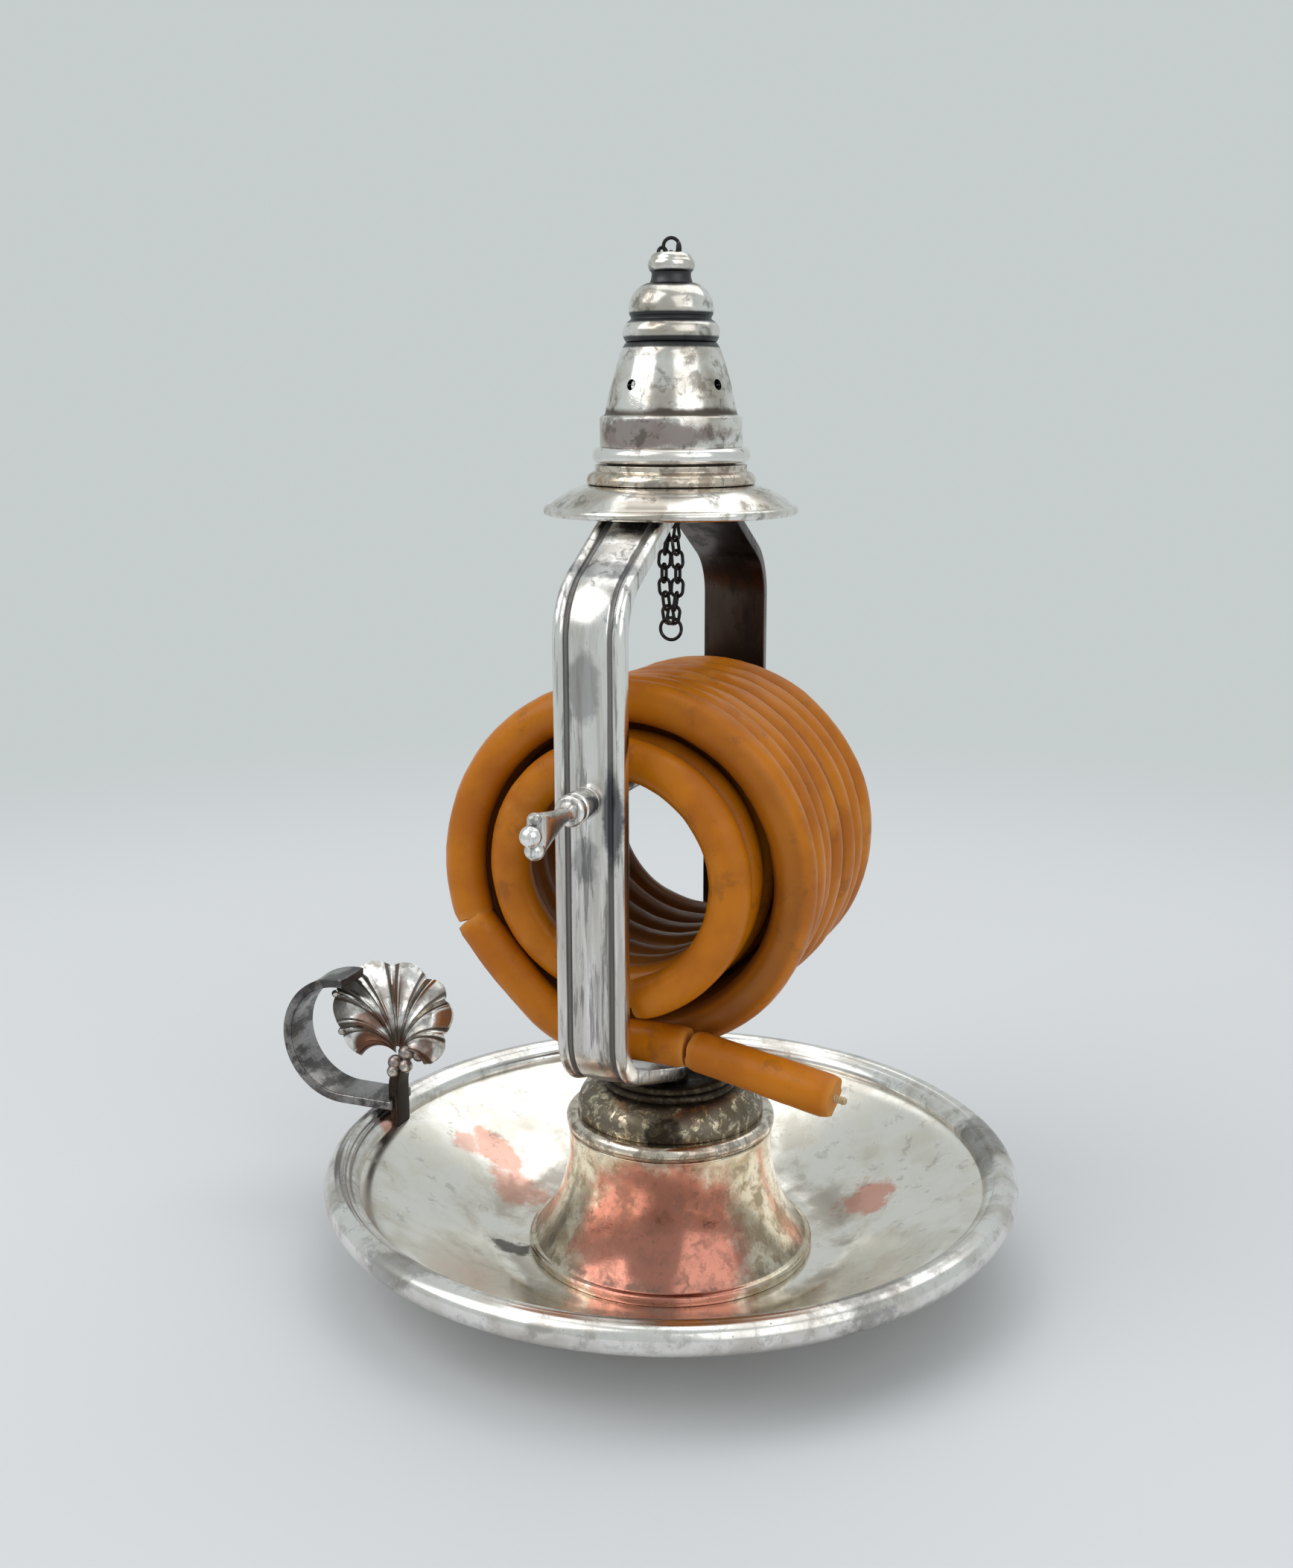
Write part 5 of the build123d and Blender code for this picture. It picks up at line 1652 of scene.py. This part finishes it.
@dataclass
class Chain:
    """The chain: ring on the finial, the run inside the cap, and the doubled end below the pan."""

    wire: float = 0.5
    link_l: float = 3.1
    link_w: float = 2.2
    slack: float = 0.1
    strand_links: int = 7
    spread: float = 10.0
    ring_r: float = 1.6
    stop_r: float = 1.35

    def build(self, groups: Groups) -> None:
        """Builds the chain's pieces."""
        finish = Blackened().material(groups)
        tree = chain_tree(finish)
        stop_z = (node_low("chain_stop_ring") + node_high("chain_stop_ring")) / 2
        stop = join("finial_ring", [
            self.ring("finial_ring", self.stop_r * 0.8, stop_z, 25.0),
            self.ring("finial_link_1", self.stop_r * 0.62, stop_z - 0.5, 100.0, 1.1),
            self.ring("finial_link_2", self.stop_r * 0.55, stop_z - 0.9, 60.0, -1.3),
        ])
        place(stop, Body.CAP, Slot.CHAIN, finish, "chain_stop_ring")
        half_link = self.link_l / 2
        low, high = node_low("chain_upper") + half_link, node_high("chain_upper") - half_link
        pitch = self.link_l - 2 * self.wire - self.slack
        count = round((high - low) / pitch) + 1
        run = self.strung("cap_chain", [Vector((0, 0, low)), Vector((0, 0, high))], count, tree)
        place(run, Body.CAP, Slot.CHAIN, finish, "chain_upper")
        top = node_high("chain_lower") - self.wire / 2 - self.ring_r
        strands = [self.ring("hanging_chain", self.ring_r, top)]
        reach = self.ring_r - self.wire - self.slack + half_link - self.wire / 2
        for side in (-1, 1):
            path = self.strand(side, top, reach, pitch)
            strands.append(self.strung(f"strand_{side + 1}", path, self.strand_links, tree))
        chain = join("hanging_chain", strands)
        place(chain, Body.CHAIN, Slot.CHAIN, finish, "chain_lower")
        drop_z = (node_low("chain_drop_ring") + node_high("chain_drop_ring")) / 2
        place(self.ring("drop_ring", self.ring_r, drop_z), Body.CHAIN, Slot.CHAIN, finish, "chain_drop_ring")

    def strand(self, side: int, top: float, reach: float, pitch: float) -> list[Vector]:
        """Middles of the links of one strand."""
        tilt = side * self.spread
        turn = math.radians(tilt)
        here = Vector((reach * math.sin(turn), 0, top - reach * math.cos(turn)))
        path = [here.copy()]
        for index in range(self.strand_links - 1):
            after = side * self.spread * math.cos(math.pi * (index + 1) / (self.strand_links - 1))
            middle = math.radians((tilt + after) / 2)
            here = here + Vector((math.sin(middle), 0, -math.cos(middle))) * pitch
            tilt = after
            path.append(here.copy())
        return path

    def strung(self, name: str, path: Sequence[Vector], count: int, tree: bpy.types.NodeTree) -> bpy.types.Object:
        """Strings links along a path of link middles."""
        curve = bpy.data.curves.new(name, "CURVE")
        curve.dimensions = "3D"
        spline = curve.splines.new("POLY")
        spline.points.add(len(path) - 1)
        for point, here in zip(spline.points, path):
            point.co = (*(here * MM), 1.0)
        source = bpy.data.objects.new(name + "_path", curve)
        bpy.context.scene.collection.objects.link(source)
        values = {
            "Links": count,
            "Link Length": self.link_l * MM,
            "Link Width": self.link_w * MM,
            "Wire": self.wire * MM,
        }
        piece = run_tree(name, source, tree, values)
        bpy.data.objects.remove(source)
        return piece

    def ring(
        self, name: str, radius: float, height: float, turned: float = 0.0, aside: float = 0.0
    ) -> bpy.types.Object:
        """A round wire ring that stands upright, turned about the vertical and set aside along x."""
        points, faces, around, across = [], [], 36, 12
        for step in range(around):
            turn = 2 * math.pi * step / around
            for part in range(across):
                tube = 2 * math.pi * part / across
                out = radius + self.wire / 2 * math.cos(tube)
                points.append((out * math.cos(turn), self.wire / 2 * math.sin(tube), height + out * math.sin(turn)))
        for step in range(around):
            for part in range(across):
                nxt, far = (step + 1) % around, (part + 1) % across
                faces.append((step * across + part, nxt * across + part, nxt * across + far, step * across + far))
        swing = Matrix.Rotation(math.radians(turned), 3, "Z")
        points = [swing @ Vector(point) + Vector((aside, 0, 0)) for point in points]
        piece = mesh_object(name, points, faces)
        turn_outwards(piece)
        return piece


@dataclass
class Handle:
    """The finger ring, the stalk and the shell thumb-piece."""

    ring_w: float = 7.0
    ring_t: float = 1.6
    ring_r: float = 10.0
    ring_out_x: float = 56.5
    ring_sweep: float = 185.0
    stalk_w: float = 4.3
    stalk_rise: float = 2.5
    stalk_bend: float = 14.0
    hinge: tuple[float, float, float] = (-47.5, -0.5, 24.6)
    shell_tilt: float = 30.0
    shell_turn: float = 10.0
    ridges: tuple[float, ...] = (-94.0, -72.0, -52.0, -37.0, -12.0, 14.0, 35.0, 62.0, 104.0)
    reaches: tuple[float, ...] = (6.2, 10.4, 15.2, 16.0, 15.0, 13.2, 11.8, 8.2, 5.0)

    def build(self, groups: Groups) -> None:
        """Builds the handle's pieces."""
        shell_finish = SHELL.material(groups)
        half, edge = self.ring_w / 2, self.ring_t / 2
        low = node_low("handle_ring") + edge
        leg_x = -(self.ring_out_x - self.ring_r)
        start_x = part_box("handle_ring")[1].x / MM
        turns = [("run", self.ring_out_x + start_x, 0), ("bend", self.ring_r, -self.ring_sweep)]
        flat = curve_path(turns, (start_x, low), 180.0)
        path = [Vector((x, 0, z)) for x, z in flat]
        section = [(-half, -edge), (half, -edge), (half, edge), (half - 0.9, edge * 0.75)]
        section += [(-half + 0.9, edge * 0.75), (-half, edge)]
        ring = sweep("finger_ring", path, section, Vector((0, 1, 0)), round_by=0.4)
        place(ring, Body.STAND, Slot.BRIGHT, RING.material(groups), "handle_ring")
        stalk_low = node_low("handle_stalk")
        bend_r = self.ring_r * 0.9 - self.stalk_rise
        turns = [("run", low + self.stalk_rise - stalk_low, 0), ("bend", bend_r, -self.stalk_bend), ("run", 2.0, 0)]
        flat = curve_path(turns, (leg_x - 1.2, stalk_low), 90.0)
        path = [Vector((x, 0, z)) for x, z in flat]
        half = self.stalk_w / 2
        section = [(-half, -edge), (half, -edge), (half, edge), (-half, edge)]
        stalk = sweep("shell_stalk", path, section, Vector((0, 1, 0)), round_by=0.4)
        place(stalk, Body.STAND, Slot.COPPER, BACK_STRAP.material(groups), "handle_stalk")
        place(self.shell(), Body.STAND, Slot.WORN, shell_finish, "thumb_piece")

    def shell(self) -> bpy.types.Object:
        """The shell: dished panels between thin raised ridges that curve out from the hinge."""
        tilt, turn = math.radians(self.shell_tilt), math.radians(self.shell_turn)
        facing = Vector((math.sin(turn) * math.cos(tilt), -math.cos(turn) * math.cos(tilt), math.sin(tilt)))
        across = Vector((math.cos(turn), math.sin(turn), 0))
        up = facing.cross(across)
        hinge = Vector(self.hinge)
        rows, fine = 40, 24
        columns = (len(self.ridges) - 1) * fine
        front, back, hollow, tips = [], [], [], []
        for column in range(columns + 1):
            lobe = column / fine
            share = lobe - min(int(lobe), len(self.ridges) - 2)
            rim = float(np.interp(lobe, range(len(self.ridges)), self.ridges))
            edge = float(np.interp(lobe, range(len(self.reaches)), self.reaches))
            edge *= 1 + 0.09 * math.sin(math.pi * share)
            aside = min(share, 1 - share)
            ridge = math.exp(-((aside / 0.075) ** 2)) + 0.45 * math.exp(-(((share - 0.22) / 0.055) ** 2))
            for row in range(rows + 1):
                out = row / rows
                angle = math.radians(rim * (0.45 + 0.55 * out))
                way = across * math.sin(angle) + up * math.cos(angle)
                crown = (0.55 * ridge - 0.5 * math.sin(math.pi * share)) * out**0.6
                dish = 1.5 * math.sin(math.pi * out * 0.8) - 1.1 * out**3
                here = hinge + way * edge * (0.1 + 0.9 * out) + facing * (crown + dish)
                front.append(here)
                back.append(here - facing * 0.9)
                grime = 0.85 * math.exp(-(((aside - 0.14) / 0.05) ** 2)) - 0.6 * ridge
                hollow.append(float(np.clip(grime + max(0.0, 0.75 - out * 2.6), -1, 1)))
            if column % fine == 0 and fine <= column <= 2 * fine:
                tips.append(front[-1])
        points = front + back
        width = rows + 1
        total = len(front)
        faces = []
        for column in range(columns):
            for row in range(rows):
                a = column * width + row
                faces.append((a, a + width, a + width + 1, a + 1))
                faces.append((total + a, total + a + 1, total + a + width + 1, total + a + width))
        for row in range(rows):
            for a, flip in ((row, False), (columns * width + row, True)):
                quad = (a, a + 1, total + a + 1, total + a)
                faces.append(quad[::-1] if flip else quad)
        for column in range(columns):
            for row, flip in ((0, True), (rows, False)):
                a = column * width + row
                quad = (a, a + width, total + a + width, total + a)
                faces.append(quad if flip else quad[::-1])
        fan = mesh_object("shell_fan", points, faces, hollow + hollow, sharp=80)
        turn_outwards(fan)
        spots = ((1.5, 0.6, 1.4), (3.6, 0.2, 1.0), (-0.2, -1.1, 1.25), (1.6, -1.6, 1.2), (-0.3, -2.6, 1.1))
        knobs = [(hinge + across * x + up * z - facing * 0.2, radius) for x, z, radius in spots]
        knobs += [(tip, 0.65) for tip in tips]
        beads = [self.bead(f"shell_bead_{index}", *knob) for index, knob in enumerate(knobs)]
        return join("shell", [fan, *beads])

    def bead(self, name: str, centre: Vector, radius: float) -> bpy.types.Object:
        """A small round bead."""
        outline = [(radius * math.sin(a), -radius * math.cos(a)) for a in np.linspace(0, math.pi, 14)]
        outline[0], outline[-1] = (0, -radius), (0, radius)
        piece = lathe(name, outline, segments=24)
        for vertex in piece.data.vertices:
            vertex.co = vertex.co + centre * MM
        return piece


# Studio


@dataclass
class Studio:
    """Camera, floor, lights and world."""

    camera_mm: tuple[float, float, float] = (85.62, -229.65, 129.26)
    heading: float = 21.282
    pitch: float = 12.756
    roll: float = -0.123
    focal_px: float = 2286.9
    floor_rgb: Rgb = (0.725, 0.735, 0.76)
    wall_rgb: Rgb = (0.57, 0.612, 0.612)

    def build(self) -> None:
        """Sets up the studio."""
        self.build_camera()
        self.build_floor()
        self.build_lights()
        self.build_world()
        bpy.context.scene.view_settings.view_transform = "Standard"

    def build_camera(self) -> None:
        """Places the camera at the photograph's angle."""
        heading, pitch, roll = (math.radians(v) for v in (self.heading, self.pitch, self.roll))
        ahead = Vector(
            (-math.sin(heading) * math.cos(pitch), math.cos(heading) * math.cos(pitch), -math.sin(pitch))
        )
        right = ahead.cross(Vector((0, 0, 1))).normalized()
        up = right.cross(ahead)
        right, up = (
            right * math.cos(roll) + up * math.sin(roll),
            up * math.cos(roll) - right * math.sin(roll),
        )
        data = bpy.data.cameras.new("camera")
        data.sensor_width = 36.0
        data.lens = self.focal_px * data.sensor_width / PHOTO_H
        data.clip_start, data.clip_end = 0.01, 20.0
        camera = bpy.data.objects.new("camera", data)
        bpy.context.scene.collection.objects.link(camera)
        axes = Matrix((right, up, -ahead)).transposed()
        camera.matrix_world = Matrix.Translation(Vector(self.camera_mm) * MM) @ axes.to_4x4()
        bpy.context.scene.camera = camera

    def build_floor(self) -> None:
        """Lays a pale round floor that fades into the world's colour far out."""
        bpy.ops.mesh.primitive_circle_add(vertices=96, radius=4.0, fill_type="TRIFAN")
        floor = bpy.context.object
        floor.name = "floor"
        material, shade, principled = blank_material("pale_floor")
        principled.inputs["Base Color"].default_value = (*self.floor_rgb, 1.0)
        principled.inputs["Roughness"].default_value = 0.55
        principled.inputs["Specular IOR Level"].default_value = 0.2
        place_at = shade.add("TexCoord").outputs["Object"]
        far = shade.add("VectorMath", {0: place_at}, operation="LENGTH").outputs["Value"]
        glow = shade.add("Emission", {"Color": (*self.wall_rgb, 1.0), "Strength": 1.0})
        fade = shade.ramp(far, 0.2, 0.46)
        mixed = shade.add("MixShader", {0: fade, 1: principled.outputs[0], 2: glow.outputs[0]})
        shade.tree.links.new(mixed.outputs[0], shade.tree.nodes["Material Output"].inputs["Surface"])
        floor.data.materials.append(material)

    def build_lights(self) -> None:
        """Hangs three soft lights round the object."""
        aim = Vector((0, 0, 0.07))
        lights = (
            ("key", (-0.5, -0.5, 0.8), 0.8, 3.8),
            ("fill", (0.75, -0.5, 0.6), 0.9, 2.4),
            ("top", (0.05, 0.35, 0.95), 1.1, 3.4),
        )
        for name, where, size, power in lights:
            data = bpy.data.lights.new(name, "AREA")
            data.size, data.energy = size, power
            light = bpy.data.objects.new(name, data)
            bpy.context.scene.collection.objects.link(light)
            light.location = where
            light.rotation_mode = "QUATERNION"
            light.rotation_quaternion = (aim - Vector(where)).to_track_quat("-Z", "Y")

    def build_world(self) -> None:
        """Makes a plain pale world, which is the wall that the camera and the metal see."""
        world = bpy.data.worlds.new("studio")
        bpy.context.scene.world = world
        world.use_nodes = True
        shade = Shader(world.node_tree)
        background = world.node_tree.nodes["Background"]
        background.inputs["Color"].default_value = (*self.wall_rgb, 1.0)
        path = shade.add("LightPath").outputs
        seen = shade.math("MAXIMUM", path["Is Camera Ray"], path["Is Glossy Ray"])
        seen = shade.math("MAXIMUM", seen, path["Is Transmission Ray"])
        strength = shade.math("MULTIPLY_ADD", seen, 0.25)
        strength.node.inputs[2].default_value = 0.75
        shade.tree.links.new(strength, background.inputs["Strength"])


def main() -> None:
    """Builds every piece of the wax jack and the studio round it."""
    logging.basicConfig(level=logging.INFO, format="%(name)s: %(message)s")
    groups = Groups()
    for part in (TraySet(), Pedestal(), Stirrup(), DripPan(), Cap(), Spindle(), TaperCoil(), Chain(), Handle()):
        part.build(groups)
        LOG.info("%s is done", type(part).__name__)
    Studio().build()


if __name__ == "__main__":
    main()
